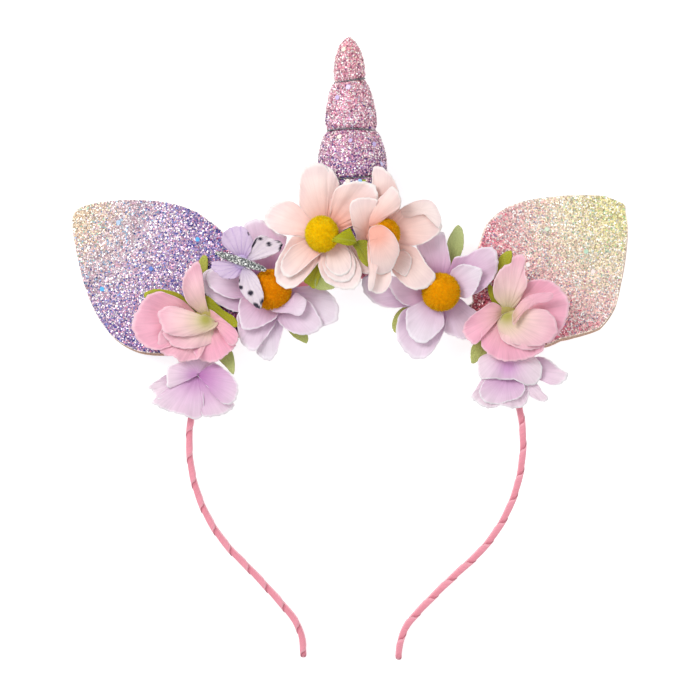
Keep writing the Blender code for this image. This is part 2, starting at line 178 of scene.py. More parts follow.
def make_piece(name, points, faces, materials, nodes=(), place=None, tint=None, uv=None,
               thickness=0.0, smooth=True):
    """A piece of the headband from points in millimetres, riding on the one body.

    nodes are the solids that it replaces. place, tint and uv are what each point carries, and
    the last material covers the back and the cut edge of a piece with a thickness.
    """
    mesh = bpy.data.meshes.new(name)
    mesh.from_pydata((np.asarray(points) * MM).tolist(), [], [tuple(face) for face in faces])
    for title, values in (("place", place), ("tint", tint)):
        if values is not None:
            layer = mesh.color_attributes.new(title, "FLOAT_COLOR", "POINT")
            full = np.ones((len(points), 4), np.float32)
            full[:, :3] = values
            layer.data.foreach_set("color", full.ravel())
    if uv is not None:
        corners = np.zeros(len(mesh.loops), np.int32)
        mesh.loops.foreach_get("vertex_index", corners)
        layer = mesh.uv_layers.new(name="cloth")
        layer.data.foreach_set("uv", np.asarray(uv, np.float32)[corners].ravel())
    for material in materials:
        mesh.materials.append(material)
    mesh.polygons.foreach_set("use_smooth", [smooth] * len(mesh.polygons))
    mesh.update()
    piece = bpy.data.objects.new(name, mesh)
    bpy.context.scene.collection.objects.link(piece)
    if thickness:
        wall = piece.modifiers.new("thickness", "SOLIDIFY")
        wall.thickness = thickness * MM
        wall.offset = 0.0
        wall.material_offset = len(materials) - 1
        wall.material_offset_rim = len(materials) - 1
    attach(piece, "root")
    if nodes:
        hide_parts(*nodes)
    return piece


def band_line():
    """Distance, place and way of the band's middle line, from the left tip to the right one."""
    x, y, heading, leg = 0.0, BAND_HEIGHT, 0.0, [(0.0, BAND_HEIGHT, 0.0)]
    for name, length, turn in BAND_ARCS:
        steps = round(length / BAND_GRAIN)
        for step in range(steps):
            heading -= radians(turn / steps)
            x += length / steps * cos(heading)
            y += length / steps * sin(heading)
            leg.append((x, y, heading))
    right = np.array(leg)
    left = (right * (-1, 1, -1))[:0:-1]
    line = np.vstack([left, right])
    gaps = np.hypot(*np.diff(line[:, :2], axis=0).T)
    return np.concatenate([[0.0], np.cumsum(gaps)]), line


BAND_AT, BAND_LINE = band_line()
BAND_MATRIX = (Matrix.Translation(Vector(BAND_TIPS) + Vector((0, 0, BAND_WIDTH / 2)))
               @ Matrix.Rotation(radians(BAND_TURN), 4, "Z")
               @ Matrix.Rotation(radians(BAND_LEAN), 4, "X"))


def moved(points, matrix):
    """Points through a 4 x 4 matrix in millimetres."""
    grid = np.array(matrix)
    return np.asarray(points) @ grid[:3, :3].T + grid[:3, 3]


def round_band(at, around, proud):
    """Points on the band's skin: distance along it, angle round it, and height over the wire."""
    x, y, heading = (np.interp(at, BAND_AT, BAND_LINE[:, k]) for k in range(3))
    from_end = np.minimum(at, BAND_AT[-1] - at)
    tuck = np.clip(1 - from_end / RIBBON_ROUND_END, 0, 1)
    size = np.sqrt(1 - tuck ** 2)
    power = 2 / RIBBON_SQUARE
    across = np.sign(np.cos(around)) * np.abs(np.cos(around)) ** power
    upward = np.sign(np.sin(around)) * np.abs(np.sin(around)) ** power
    across = across * (BAND_THICK / 2 - RIBBON_RISE / 2 + proud) * size
    upward = upward * (BAND_WIDTH / 2 - RIBBON_RISE / 2 + proud) * size
    flat = np.stack([x - np.sin(heading) * across, y + np.cos(heading) * across, upward], -1)
    return moved(flat.reshape(-1, 3), BAND_MATRIX)


def satin_ribbon():
    """Dusty pink satin with fine lines along the ribbon and painted light and shade on each turn."""
    material, tree, shader = start_material("satin_ribbon", 0.42, sheen=0.25, specular=0.4)
    lap = read_place(tree)[0]
    # Painted highlight along the raised edge of each turn, painted shade where it runs under the next.
    body = ramp(tree, lap, [(0.0, srgb(246, 176, 188)), (0.10, srgb(236, 152, 168)),
                            (0.72, srgb(230, 140, 156)), (0.86, srgb(196, 104, 122))])
    cloth = read_cloth(tree)
    drawn = add_node(tree, "Mapping", {"Vector": cloth, "Scale": (0.35, 6.0, 1.0)})
    streaks = noise(tree, 1.0, 3.0, drawn.outputs["Vector"])
    paint(tree, shader, shaded(tree, body, streaks, [(0.3, 0.80), (0.7, 1.08)]))
    threads = add_node(tree, "TexWave", {"Vector": cloth, "Scale": 1.1, "Distortion": 0.4},
                       bands_direction="Y")
    press(tree, shader, threads.outputs["Fac"], 0.25, 0.06)
    return material


def make_ribbon():
    turns = BAND_AT[-1] / RIBBON_TURN
    wind = np.arange(RIBBON_START, turns + 0.02, 1 / RIBBON_AROUND)
    share = np.linspace(0, 1 + RIBBON_LAP, RIBBON_ACROSS)
    wind_grid, share_grid = np.meshgrid(wind, share, indexing="ij")
    at = np.clip(RIBBON_TURN * (wind_grid + share_grid), 0, BAND_AT[-1])
    lap = share_grid / (1 + RIBBON_LAP)
    points = round_band(at, 2 * pi * wind_grid, RIBBON_RISE * (1 - lap))
    place = np.stack([lap, np.zeros_like(lap), np.zeros_like(lap)], -1).reshape(-1, 3)
    uv = np.stack([wind_grid * RIBBON_FLAT, share_grid * RIBBON_TURN], -1).reshape(-1, 2)
    ribbon = make_piece("band_ribbon", points, grid_faces(len(wind), len(share)),
                        [satin_ribbon()], ["band"], place=place, uv=uv)
    bm = bmesh.new()
    bm.from_mesh(ribbon.data)
    bmesh.ops.dissolve_degenerate(bm, edges=bm.edges[:], dist=1e-6)
    bmesh.ops.recalc_face_normals(bm, faces=bm.faces[:])
    bm.to_mesh(ribbon.data)
    bm.free()
    wall = ribbon.modifiers.new("thickness", "SOLIDIFY")
    wall.thickness = RIBBON_CLOTH * MM
    wall.offset = -1.0


make_ribbon()

# Ears
# Two sheets of stiff glitter cloth for each ear, cut alike, with their felt sides turned in and
# the band held between them. Big flakes lie over the fine glitter, in colours that fade along it.
from collections import namedtuple

EAR_CLOTH = 1.0
GAP = 0.3              # between pieces that are glued to each other
EAR_SLACK = 0.05       # added to the gap between the band and an ear
EAR_START = 0.045      # shares of the length between which the form is worked out
EAR_TIP = 0.9995
EAR_SHORT_ROOT = 0.78  # below 1 moves the widest part towards the base
EAR_FULLNESS = 0.78    # below 1 fills out the sides
EAR_CROWN_START = 0.2
EAR_BEHIND_BAND = 4.5
EAR_ROWS = 64
EAR_TIP_ROWS = 1.35    # above 1 brings the rows closer near the tip
EAR_COLUMNS = 36
Ear = namedtuple("Ear", "name x y direction length widest root")
EARS = (
    # x and y are the middle of its base; widest and root are half widths
    Ear("ear_left", -44.9, 8.6, direction=143.4, length=71.4, widest=28.3, root=11.0),
    Ear("ear_right", 48.3, 9.1, direction=39.6, length=70.0, widest=28.3, root=11.0),
)
EAR_SHEETS = {
    # side of the band, where it leaves the band, where it is flat, flat height, crown
    "front": (1.0, 13.0, 50.0, 1.9, 1.3),
    "back": (-1.0, 3.0, 38.0, 0.5, 0.0),
}
EAR_BACK_SHIFT = (0.3, -0.9)
EAR_TRIMS = {
    # how much wider than the plain form each ear is cut, by share of its length, on its right
    # side and on its left side as they are seen from its base
    "ear_left": (
        ((0.2, 0.0), (0.32, -0.6), (0.4, -1.1), (0.57, -0.5), (0.75, 0.2), (0.9, 1.0), (0.98, 1.6)),
        ((0.2, -0.5), (0.3, 0.1), (0.45, 0.4), (0.65, 0.2), (0.86, 0.0), (0.95, 0.8), (1.0, 1.3)),
    ),
    "ear_right": (
        ((0.1, -1.6), (0.2, -2.4), (0.28, -4.0), (0.35, -2.9), (0.4, -1.6), (0.48, 1.0), (0.55, 1.6),
         (0.62, 1.9), (0.73, 0.7), (0.86, 0.3), (0.95, 0.3), (0.98, -0.6)),
        ((0.2, -2.4), (0.27, -2.7), (0.37, -0.5), (0.5, 0.0), (0.72, 0.0), (0.85, 0.9), (0.95, 2.1),
         (0.99, 1.0)),
    ),
}
EAR_BACK_TRIM = 0.95    # share of the trims that the back sheets get
EAR_BARE_EDGE = {"ear_left": 0.2, "ear_right": 0.55}
EAR_CUT_COLOUR = (250, 238, 220)
FLAKE_SPACING = 0.60
FLAKE_RADIUS = (0.25, 0.39)
FLAKE_TILT = 22.0
FLAKE_SWAY = 0.55      # spread of the tilts
FLAKE_LIFT = 0.12
FLAKE_SHAKE = 0.45     # how far flakes move off their grid, as a share of the spacing
FLAKE_SHADES = (0.60, 1.30)
FLAKES_END = 0.998
FADE_BLUR = 2.0        # how far flakes of one colour stray among the next
BACK_SPACING = FLAKE_SPACING * 1.35
BIG_FLAKE_RADIUS = 0.95
BIG_FLAKE_LIFT = 0.35

# Flake colours: how far from the tip they belong, then each colour with its share.
# The near-white colours are partly white flakes and partly painted glints.
EAR_COLOURS = {
    "ear_left": (
        (4.0, ((246, 226, 192), 5), ((236, 200, 170), 3), ((255, 252, 240), 3), ((168, 216, 190), 1.2),
         ((196, 168, 140), 2.0)),
        (20.0, ((232, 208, 210), 5), ((214, 176, 184), 3), ((255, 252, 252), 3), ((150, 186, 212), 1.5),
         ((176, 148, 156), 2.4), ((110, 134, 180), 0.8)),
        (36.0, ((230, 204, 212), 4), ((255, 250, 248), 3), ((184, 150, 184), 2.8), ((104, 116, 186), 1.7),
         ((228, 170, 186), 2.4), ((52, 62, 140), 1.7)),
        (54.0, ((206, 174, 196), 3.2), ((255, 246, 248), 2.3), ((164, 126, 172), 2.8), ((38, 46, 136), 2.8),
         ((224, 150, 178), 2.4), ((100, 80, 156), 2.0)),
        # Near the base the deep colours are partly the cloth's own and partly painted shade under the
        # flowers.
        (68.0, ((190, 110, 144), 3), ((140, 56, 96), 3), ((230, 190, 206), 1), ((80, 40, 96), 1.4)),
    ),
    "ear_right": (
        (6.0, ((246, 240, 182), 5), ((232, 224, 150), 3), ((255, 255, 244), 3), ((176, 214, 150), 1.6),
         ((206, 186, 136), 2.0)),
        (24.0, ((252, 240, 204), 5), ((248, 226, 202), 3), ((255, 255, 250), 3.6), ((176, 206, 180), 1.2),
         ((214, 184, 160), 1.6)),
        (42.0, ((252, 224, 212), 5), ((255, 254, 250), 3.8), ((246, 190, 192), 3), ((174, 166, 190), 1.0),
         ((216, 150, 156), 1.4)),
        (54.0, ((248, 184, 192), 4), ((255, 244, 244), 3.4), ((238, 132, 154), 3), ((142, 122, 160), 1.0),
         ((214, 98, 122), 1.4)),
        # Near the base the deep colours are partly the cloth's own and partly painted shade under the
        # flowers.
        (66.0, ((226, 112, 122), 3), ((178, 56, 72), 3), ((244, 190, 190), 1.8), ((116, 40, 56), 1.2)),
    ),
}
EAR_GROUND = {
    # colour of the fine glitter under the flakes, by distance from the tip
    # The deepest stops at the base are partly the cloth's own colour and partly painted shade.
    "ear_left": ((0, (214, 188, 156)), (18, (190, 166, 170)), (36, (140, 116, 160)),
                 (58, (96, 76, 140)), (72, (110, 40, 76))),
    "ear_right": ((0, (226, 214, 150)), (22, (236, 216, 186)), (42, (232, 186, 182)),
                  (56, (214, 112, 132)), (70, (130, 40, 52))),
}
EAR_BIG_FLAKES = {
    # x, y and colour of the few large flakes on the front
    "ear_left": ((-92.1, 22.2, (96, 190, 244)), (-56.2, 40.7, (92, 180, 240)),
                 (-73.3, 30.0, (110, 140, 220)), (-86.0, 47.0, (190, 214, 240))),
    "ear_right": ((90.0, 28.7, (255, 238, 232)), (87.6, 36.4, (196, 230, 204)),
                  (65.5, 31.6, (255, 250, 246)), (73.0, 45.0, (226, 240, 214))),
}


def band_height(y):
    """Height of the band's middle, which leans up from its tips to its crown."""
    return BAND_WIDTH / 2 + (y - BAND_TIPS[1]) * tan(radians(BAND_LEAN))


def ease(t):
    t = np.clip(t, 0.0, 1.0)
    return t * t * (3 - 2 * t)


def ear_half_width(ear, sheet, u, side):
    """Half width of an ear sheet at u along it, on its right side where side is below 0."""
    form = np.sin(pi * np.clip(u, EAR_START, EAR_TIP) ** EAR_SHORT_ROOT) ** EAR_FULLNESS
    half = np.where(u < 0.5, np.maximum(ear.widest * form, ear.root), ear.widest * form)
    right, left = (np.interp(u, *zip(*trims)) for trims in EAR_TRIMS[ear.name])
    share = 1.0 if sheet == "front" else EAR_BACK_TRIM
    return half + share * np.where(side < 0, right, left)


def ear_point(ear, sheet, u, v):
    """Middle of one ear sheet: u runs from its base to its tip and v from side to side."""
    side, leave, flat, flat_height, crown = EAR_SHEETS[sheet]
    shift = EAR_BACK_SHIFT if sheet == "back" else (0.0, 0.0)
    way = radians(ear.direction)
    along = u * ear.length
    across = ear_half_width(ear, sheet, u, v) * v
    x = ear.x + shift[0] + cos(way) * along - sin(way) * across
    y = ear.y + shift[1] + sin(way) * along + cos(way) * across
    held = band_height(y) + side * (BAND_WIDTH / 2 + GAP + EAR_CLOTH / 2 + EAR_SLACK)
    share = ease((along - leave) / (flat - leave))
    bulge = crown * (1 - v * v) * np.sin(pi * ease((u - EAR_CROWN_START) / (1 - EAR_CROWN_START)))
    return np.stack([x, y, held + (flat_height - held) * share + bulge], -1)


def maths(tree, how, first, second=0.0):
    """Output of a maths node: how is one of its operations."""
    made = tree.nodes.new("ShaderNodeMath")
    made.operation = how
    for socket, value in ((0, first), (1, second)):
        if isinstance(value, bpy.types.NodeSocket):
            tree.links.new(value, made.inputs[socket])
        else:
            made.inputs[socket].default_value = value
    return made.outputs[0]


def read_tint(tree):
    """The colour that each point carries in its attribute named tint."""
    return add_node(tree, "Attribute", attribute_name="tint").outputs["Color"]


def glitter_ground(name, cells_scale, channel, tones, depth, crinkle_scale=None):
    """Fine glitter on cloth: tiny cells of the ground colour, lighter and darker; the brightest are painted
    glints.

    cells_scale is the number of cells in a metre. The cloth's crinkles go into its bump.
    """
    material, tree, shader = start_material(name, 0.4, metallic=0.1)
    here = add_node(tree, "TexCoord").outputs["Object"]
    cells = add_node(tree, "TexVoronoi", {"Vector": here, "Scale": cells_scale})
    split = add_node(tree, "SeparateColor", {"Color": cells.outputs["Color"]})
    paint(tree, shader, shaded(tree, read_tint(tree), split.outputs[channel], tones))
    height = cells.outputs["Distance"]
    if crinkle_scale:
        height = maths(tree, "ADD", height, noise(tree, crinkle_scale, 4.0))
    press(tree, shader, height, 0.5, depth)
    return material


def flake_film():
    """Glitter flakes: cut film in each flake's own colour, slightly rubbed."""
    material, tree, shader = start_material("flake_film", 0.25, metallic=0.12, specular=0.6)
    rub = noise(tree, 3000.0)
    paint(tree, shader, shaded(tree, read_tint(tree), rub, [(0.3, (0.88, 0.88, 0.9)), (0.7, 1.05)]))
    return material


def beige_felt():
    """Pressed beige felt with short random fibres."""
    material, tree, shader = start_material("beige_felt", 0.95, sheen=0.3, specular=0.2)
    fibre = noise(tree, 1500.0, 6.0, distortion=1.2)
    paint(tree, shader, ramp(tree, fibre, [(0.3, srgb(206, 172, 152)), (0.7, srgb(240, 214, 196))]))
    press(tree, shader, fibre, 0.5, 0.1)
    return material


# The darkest cells are the cloth between the glitter, the brightest are painted glints.
FINE_GLITTER = glitter_ground("fine_glitter", 2400.0, "Red",
                              [(0.0, (0.35, 0.34, 0.42)), (0.35, (0.8, 0.8, 0.84)), (0.7, 1.1),
                               (0.95, 1.7)], 0.12)
FLAKE_FILM = flake_film()
BEIGE_FELT = beige_felt()


def faded_tints(distance, colours, rng):
    """A colour for each flake, drawn from the two lists of colours that it lies between."""
    places = np.array([row[0] for row in colours])
    spot = np.interp(distance, places, np.arange(len(places)))
    pick = np.clip(np.floor(spot + rng.random(len(spot))), 0, len(places) - 1).astype(int)
    tints = np.zeros((len(spot), 3))
    for index, row in enumerate(colours):
        mine = np.nonzero(pick == index)[0]
        shares = np.array([share for colour, share in row[1:]])
        drawn = rng.choice(len(shares), len(mine), p=shares / shares.sum())
        tints[mine] = np.array([srgb(*colour) for colour, share in row[1:]])[drawn]
    return tints * rng.uniform(*FLAKE_SHADES, (len(spot), 1))


def faded_ground(distance, stops):
    """The ground colour at each distance, between named stops."""
    places = [place for place, colour in stops]
    shades = np.array([srgb(*colour) for place, colour in stops])
    return np.stack([np.interp(distance, places, shades[:, k]) for k in range(3)], -1)


def flakes(centres, normals, radii, tints, rng, tilt=FLAKE_TILT):
    """Six-sided flakes on a surface, each tilted its own way. Returns points, faces and tints."""
    count = len(centres)
    lean = normals + np.tan(radians(tilt)) * rng.normal(0, FLAKE_SWAY, (count, 3))
    lean /= np.linalg.norm(lean, axis=1)[:, None]
    guide = rng.normal(0, 1, (count, 3))
    first = np.cross(lean, guide)
    first /= np.linalg.norm(first, axis=1)[:, None]
    second = np.cross(lean, first)
    turn = np.arange(6) * pi / 3
    points = (centres[:, None] + radii[:, None, None]
              * (np.cos(turn)[None, :, None] * first[:, None]
                 + np.sin(turn)[None, :, None] * second[:, None]))
    faces = np.arange(count * 6).reshape(count, 6)
    return points.reshape(-1, 3), faces, np.repeat(tints, 6, axis=0)


def outward_normals(centre, first, second, outward):
    """Unit normals at each centre from two points beside it, on the side of outward."""
    normal = np.cross(first - centre, second - centre)
    normal /= np.linalg.norm(normal, axis=1)[:, None]
    return normal * np.sign((normal * outward).sum(1))[:, None]


def enlarge_flake(nearest, colour, lift, centre, normal, radii, tints):
    """Make one flake large, in a colour of its own, and lift it over its neighbours."""
    radii[nearest] = BIG_FLAKE_RADIUS
    tints[nearest] = srgb(*colour)
    centre[nearest] += normal[nearest] * lift


def ear_flakes(ear, sheet, seed, spacing):
    """Flakes all over the outer side of one ear sheet, from a shaken grid."""
    rng = np.random.default_rng(seed)
    up = 1.0 if sheet == "front" else -1.0
    a = np.arange(-EAR_BEHIND_BAND, ear.length, spacing)
    b = np.arange(-ear.widest - 2, ear.widest + 2, spacing)
    along, across = (grid.ravel() for grid in np.meshgrid(a, b, indexing="ij"))
    along = along + rng.uniform(-FLAKE_SHAKE, FLAKE_SHAKE, len(along)) * spacing
    across = across + rng.uniform(-FLAKE_SHAKE, FLAKE_SHAKE, len(across)) * spacing
    u = along / ear.length
    half = ear_half_width(ear, sheet, u, across)
    keep = (np.abs(across) < half - EAR_BARE_EDGE[ear.name]) & (u < FLAKES_END)
    u, v = u[keep], across[keep] / half[keep]
    centre = ear_point(ear, sheet, u, v)
    normal = outward_normals(centre, ear_point(ear, sheet, u + 0.004, v),
                             ear_point(ear, sheet, u, v + 0.01), (0, 0, up))
    tip = ear_point(ear, sheet, np.array([1.0]), np.array([0.0]))[0]
    distance = np.linalg.norm((centre - tip)[:, :2], axis=1) + rng.normal(0, FADE_BLUR, len(centre))
    tints = faded_tints(distance, EAR_COLOURS[ear.name], rng)
    radii = rng.uniform(*FLAKE_RADIUS, len(centre))
    centre = centre + normal * (EAR_CLOTH / 2 + FLAKE_LIFT)
    if sheet == "front":
        for fx, fy, colour in EAR_BIG_FLAKES[ear.name]:
            nearest = np.argmin(np.hypot(centre[:, 0] - fx, centre[:, 1] - fy))
            enlarge_flake(nearest, colour, BIG_FLAKE_LIFT, centre, normal, radii, tints)
    return flakes(centre, normal, radii, tints, rng)


def make_ears():
    rows = 1 - (1 - np.linspace(0, 1, EAR_ROWS)) ** EAR_TIP_ROWS
    sides = np.sin(np.linspace(-pi / 2, pi / 2, EAR_COLUMNS))
    for number, ear in enumerate(EARS):
        name = ear.name
        start = -EAR_BEHIND_BAND / ear.length
        u, v = np.meshgrid(start + (EAR_TIP - start) * rows, sides, indexing="ij")
        for sheet in EAR_SHEETS:
            points = ear_point(ear, sheet, u, v).reshape(-1, 3)
            tip = points[-1]
            ground = faded_ground(np.linalg.norm((points - tip)[:, :2], axis=1), EAR_GROUND[name])
            inward = (1 - np.abs(v)) * ear_half_width(ear, sheet, u, v)
            cut = np.clip(1.2 - inward.reshape(-1, 1) / EAR_BARE_EDGE[name], 0, 1)
            ground = ground + (np.array(srgb(*EAR_CUT_COLOUR)) - ground) * cut
            faces = grid_faces(EAR_ROWS, EAR_COLUMNS)
            if sheet == "front":
                faces = [face[::-1] for face in faces]
            make_piece(f"{name}_{sheet}_cloth", points, faces, [FINE_GLITTER, BEIGE_FELT],
                       [f"{name}_{sheet}"],
                       tint=ground, thickness=EAR_CLOTH)
            spacing = FLAKE_SPACING if sheet == "front" else BACK_SPACING
            spots, hexagons, tints = ear_flakes(ear, sheet, 11 + number, spacing)
            make_piece(f"{name}_{sheet}_flakes", spots, hexagons, [FLAKE_FILM],
                       tint=tints, smooth=False)


make_ears()

# Horn
# A cone of pink glitter cloth sewn up the back, stuffed with fibre and tied round three times with
# silver thread, so that it bulges between the ties. Its base is glued to the crown of the band.
HORN_BASE = (2.1, 29.6, 12.35)
HORN_TURN_LEFT = 1.8
HORN_SECTIONS = (
    # name, length, start radius, widest radius, where it is widest, end radius, roundness
    ("tip", 15.9, 0.0, 5.9, 0.85, 5.7, 0.62),
    ("upper", 18.1, 5.7, 9.3, 0.84, 8.9, 0.80),
    ("middle", 17.7, 8.9, 12.8, 0.78, 12.1, 0.85),
    ("root", 34.0, 12.1, 13.2, 0.40, 12.0, 1.0),
)
HORN_LENGTH = sum(section[1] for section in HORN_SECTIONS)
HORN_ROWS = 210
HORN_AROUND = 110
TIES = (
    # node, sections above it, slope to the right and arch as shares of the horn's radius
    ("horn_tie_upper", 1, 0.110, 0.0),
    ("horn_tie_middle", 2, -0.035, 0.054),
    ("horn_tie_lower", 3, 0.050, 0.018),
)
TIE_GROOVE = 0.45
TIE_GROOVE_HALF = 0.75
PUCKERS = 17
PUCKER_DEPTH = 0.28
PUCKER_CLEAR = 0.9     # how near a tie the puckers start, and how far they reach
PUCKER_REACH = 3.2
HORN_CLOTH_INSET = 0.2
HORN_WOBBLE = 0.16
HORN_WOBBLE_LENGTH = 7.0
HORN_WOBBLE_START = 20.0
HORN_TIP_ROWS = 0.35   # how much closer the rows lie near the tip
HORN_FLAKE_SPACING = FLAKE_SPACING * 1.02
HORN_FLAKES_START = 0.25    # from the tip, and how far from the base they end
HORN_FLAKES_END = 0.3
HORN_FLAKE_SHAKE = 0.4
HORN_FLAKE_TILT = 26.0
HORN_FLAKE_LIFT = 0.14
HORN_BIG_FLAKE_LIFT = 0.3
HORN_FADE_BLUR = 3.0
THREAD_STRAND = 0.16
THREAD_STRANDS = 2
THREAD_TWIST = 1.1
THREAD_OUT = 0.30      # how far the thread's middle lies over the floor of its groove
THREAD_STEP = 0.22
THREAD_SIDES = 7
# The near-white colours are partly white flakes and partly painted glints.
HORN_COLOURS = (
    (4.0, ((240, 186, 192), 5), ((255, 244, 240), 3.4), ((226, 140, 158), 2.6), ((150, 80, 108), 1.1),
     ((252, 226, 204), 1.6)),
    (24.0, ((244, 198, 206), 5), ((255, 248, 246), 4.0), ((224, 144, 166), 2.4), ((126, 78, 122), 1.1),
     ((218, 196, 218), 1.4)),
    (44.0, ((232, 186, 200), 4), ((255, 246, 246), 3.4), ((204, 138, 170), 2.5), ((84, 66, 138), 1.4),
     ((206, 184, 214), 2.2), ((244, 220, 210), 1.4)),
    (56.0, ((214, 160, 190), 3.8), ((252, 240, 246), 3.0), ((160, 110, 168), 2.6), ((62, 62, 144), 1.7),
     ((136, 92, 136), 1.5)),
)
HORN_GROUND = ((0, (200, 134, 148)), (30, (190, 122, 150)), (50, (150, 100, 144)),
               (85, (110, 74, 124)))
HORN_BIG_FLAKES = (
    # distance from the tip, angle from the front, colour
    (4.4, -22, (252, 240, 220)), (16.6, 48, (250, 234, 224)), (22.0, -34, (206, 186, 232)),
    (18.2, -2, (214, 196, 236)), (36.3, -27, (253, 246, 228)), (39.3, 45, (198, 178, 228)),
    (38.3, -3, (206, 186, 230)), (46.6, 55, (190, 184, 232)), (28.6, 31, (250, 236, 240)),
    (52.9, 12, (150, 196, 240)), (52.6, -10, (252, 240, 226)), (53.2, 20, (160, 180, 60)),
)
HORN_MATRIX = (Matrix.Translation(HORN_BASE) @ Matrix.Rotation(radians(BAND_LEAN), 4, "X")
               @ Matrix.Rotation(radians(HORN_TURN_LEFT), 4, "Z")
               @ Matrix.Rotation(radians(-90), 4, "X"))


def horn_radius(distance):
    """Radius of the horn at a distance from its tip, without grooves."""
    for name, length, start, widest, where, end, roundness in HORN_SECTIONS:
        if distance <= length:
            t = distance / length
            if t < where:
                return start + (widest - start) * sin(pi / 2 * (t / where) ** roundness)
            return widest + (end - widest) * (1 - cos(pi / 2 * (t - where) / (1 - where)))
        distance -= length
    return HORN_SECTIONS[-1][5]


def tie_base(tie):
    """How far from the tip the sections above one tie end."""
    return sum(section[1] for section in HORN_SECTIONS[:tie[1]])


def tie_place(tie, angle):
    """How far from the tip one tie lies at each angle round the horn."""
    node, above, slope, arch = tie
    base = tie_base(tie)
    side = np.sin(angle)
    return base - (slope * side + arch * (1 - 2 * side ** 2)) * horn_radius(base)


def horn_skin(distance, angle):
    """Points on the horn's cloth, with the grooves of the ties and the puckers beside them."""
    table = np.arange(0, HORN_LENGTH + 0.1, 0.1)
    smooth = np.array([horn_radius(d) for d in table])
    radius = np.interp(distance, table, smooth) - HORN_CLOTH_INSET
    for number, tie in enumerate(TIES):
        away = distance - tie_place(tie, angle)
        radius = radius - TIE_GROOVE * np.exp(-(away / TIE_GROOVE_HALF) ** 2)
        fold = np.cos(PUCKERS * angle + 2.4 * number + 0.8 * np.sin(3 * angle + number))
        near = np.exp(-np.abs(away) / PUCKER_REACH) * (1 - np.exp(-(away / PUCKER_CLEAR) ** 2))
        radius = radius + PUCKER_DEPTH * fold * near
    wobble = HORN_WOBBLE * np.sin(2 * angle + distance / HORN_WOBBLE_LENGTH)
    radius = np.maximum(radius + wobble * np.clip(distance / HORN_WOBBLE_START, 0, 1), 0.0)
    return np.stack([radius * np.sin(angle), -radius * np.cos(angle), HORN_LENGTH - distance], -1)


def horn_cloth():
    """The horn's own glitter ground."""
    # The brightest cells are painted glints.
    return glitter_ground("horn_glitter_ground", 2100.0, "Green",
                          [(0.0, (0.28, 0.24, 0.34)), (0.4, (0.85, 0.8, 0.85)), (0.75, 1.2),
                           (0.95, 1.8)], 0.16, crinkle_scale=420.0)


def silver_thread():
    """Twisted grey silver thread with bright glints."""
    material, tree, shader = start_material("silver_thread", 0.32, metallic=0.9)
    glint = noise(tree, 2600.0)
    paint(tree, shader, ramp(tree, glint, [(0.35, srgb(92, 92, 96)), (0.55, srgb(142, 142, 146)),
                                           (0.72, srgb(196, 196, 200))]))
    press(tree, shader, glint, 0.4, 0.1)
    return material


def tube(path, radius, sides):
    """Points and faces of a closed tube along a ring of points."""
    ahead = np.roll(path, -1, axis=0) - np.roll(path, 1, axis=0)
    ahead /= np.linalg.norm(ahead, axis=1)[:, None]
    up = np.cross(ahead, np.array([0.0, 0.0, 1.0]))
    up /= np.linalg.norm(up, axis=1)[:, None]
    side = np.cross(ahead, up)
    turn = np.arange(sides) * 2 * pi / sides
    points = (path[:, None] + radius * (np.cos(turn)[None, :, None] * up[:, None]
                                        + np.sin(turn)[None, :, None] * side[:, None]))
    count = len(path) * sides
    faces = [tuple(k % count for k in face) for face in grid_faces(len(path) + 1, sides, True)]
    return points.reshape(-1, 3), faces


def join_meshes(parts):
    """Points and faces of several parts as one mesh."""
    points, faces, first = [], [], 0
    for part_points, part_faces in parts:
        points.append(part_points)
        faces += [tuple(first + k for k in face) for face in part_faces]
        first += len(part_points)
    return np.concatenate(points), faces


def make_horn():
    share = np.linspace(0, 1, HORN_ROWS)
    distance = HORN_LENGTH * (share + HORN_TIP_ROWS * share * (share - 1) * np.exp(-4 * share))
    distance[0] = 0.02
    angle = np.arange(HORN_AROUND) * 2 * pi / HORN_AROUND
    d, a = np.meshgrid(distance, angle, indexing="ij")
    points = horn_skin(d, a).reshape(-1, 3)
    faces = grid_faces(HORN_ROWS, HORN_AROUND, True)
    faces.append(tuple(range(HORN_AROUND)))
    faces.append(tuple(range((HORN_ROWS - 1) * HORN_AROUND, HORN_ROWS * HORN_AROUND))[::-1])
    horn = make_piece("horn_cloth", moved(points, HORN_MATRIX), faces, [horn_cloth()],
                      ["horn"], tint=faded_ground(d.ravel(), HORN_GROUND))


def make_horn_flakes():
    rng = np.random.default_rng(5)
    shake = HORN_FLAKE_SHAKE
    rings = []
    for at in np.arange(HORN_FLAKES_START, HORN_LENGTH - HORN_FLAKES_END, HORN_FLAKE_SPACING):
        count = max(5, round(2 * pi * horn_radius(at) / FLAKE_SPACING))
        turn = (np.arange(count) + rng.uniform(-shake, shake, count)) * 2 * pi / count
        rings.append(np.stack([at + rng.uniform(-shake, shake, count) * FLAKE_SPACING, turn], -1))
    spots = np.concatenate(rings)
    d, a = np.clip(spots[:, 0], 0.05, HORN_LENGTH - HORN_FLAKES_END), spots[:, 1]
    centre = horn_skin(d, a)
    outward = np.stack([centre[:, 0], centre[:, 1], np.full(len(d), 0.3)], -1)
    normal = outward_normals(centre, horn_skin(d + 0.2, a), horn_skin(d, a + 0.03), outward)
    tints = faded_tints(d + rng.normal(0, HORN_FADE_BLUR, len(d)), HORN_COLOURS, rng)
    radii = rng.uniform(*FLAKE_RADIUS, len(d))
    centre = centre + normal * HORN_FLAKE_LIFT
    for at, turn, colour in HORN_BIG_FLAKES:
        gap = np.hypot(d - at, (((a - radians(turn)) + pi) % (2 * pi) - pi) * horn_radius(at))
        enlarge_flake(np.argmin(gap), colour, HORN_BIG_FLAKE_LIFT, centre, normal, radii, tints)
    points, hexagons, tints = flakes(centre, normal, radii, tints, rng, HORN_FLAKE_TILT)
    make_piece("horn_flakes", moved(points, HORN_MATRIX), hexagons, [FLAKE_FILM],
               tint=tints, smooth=False)


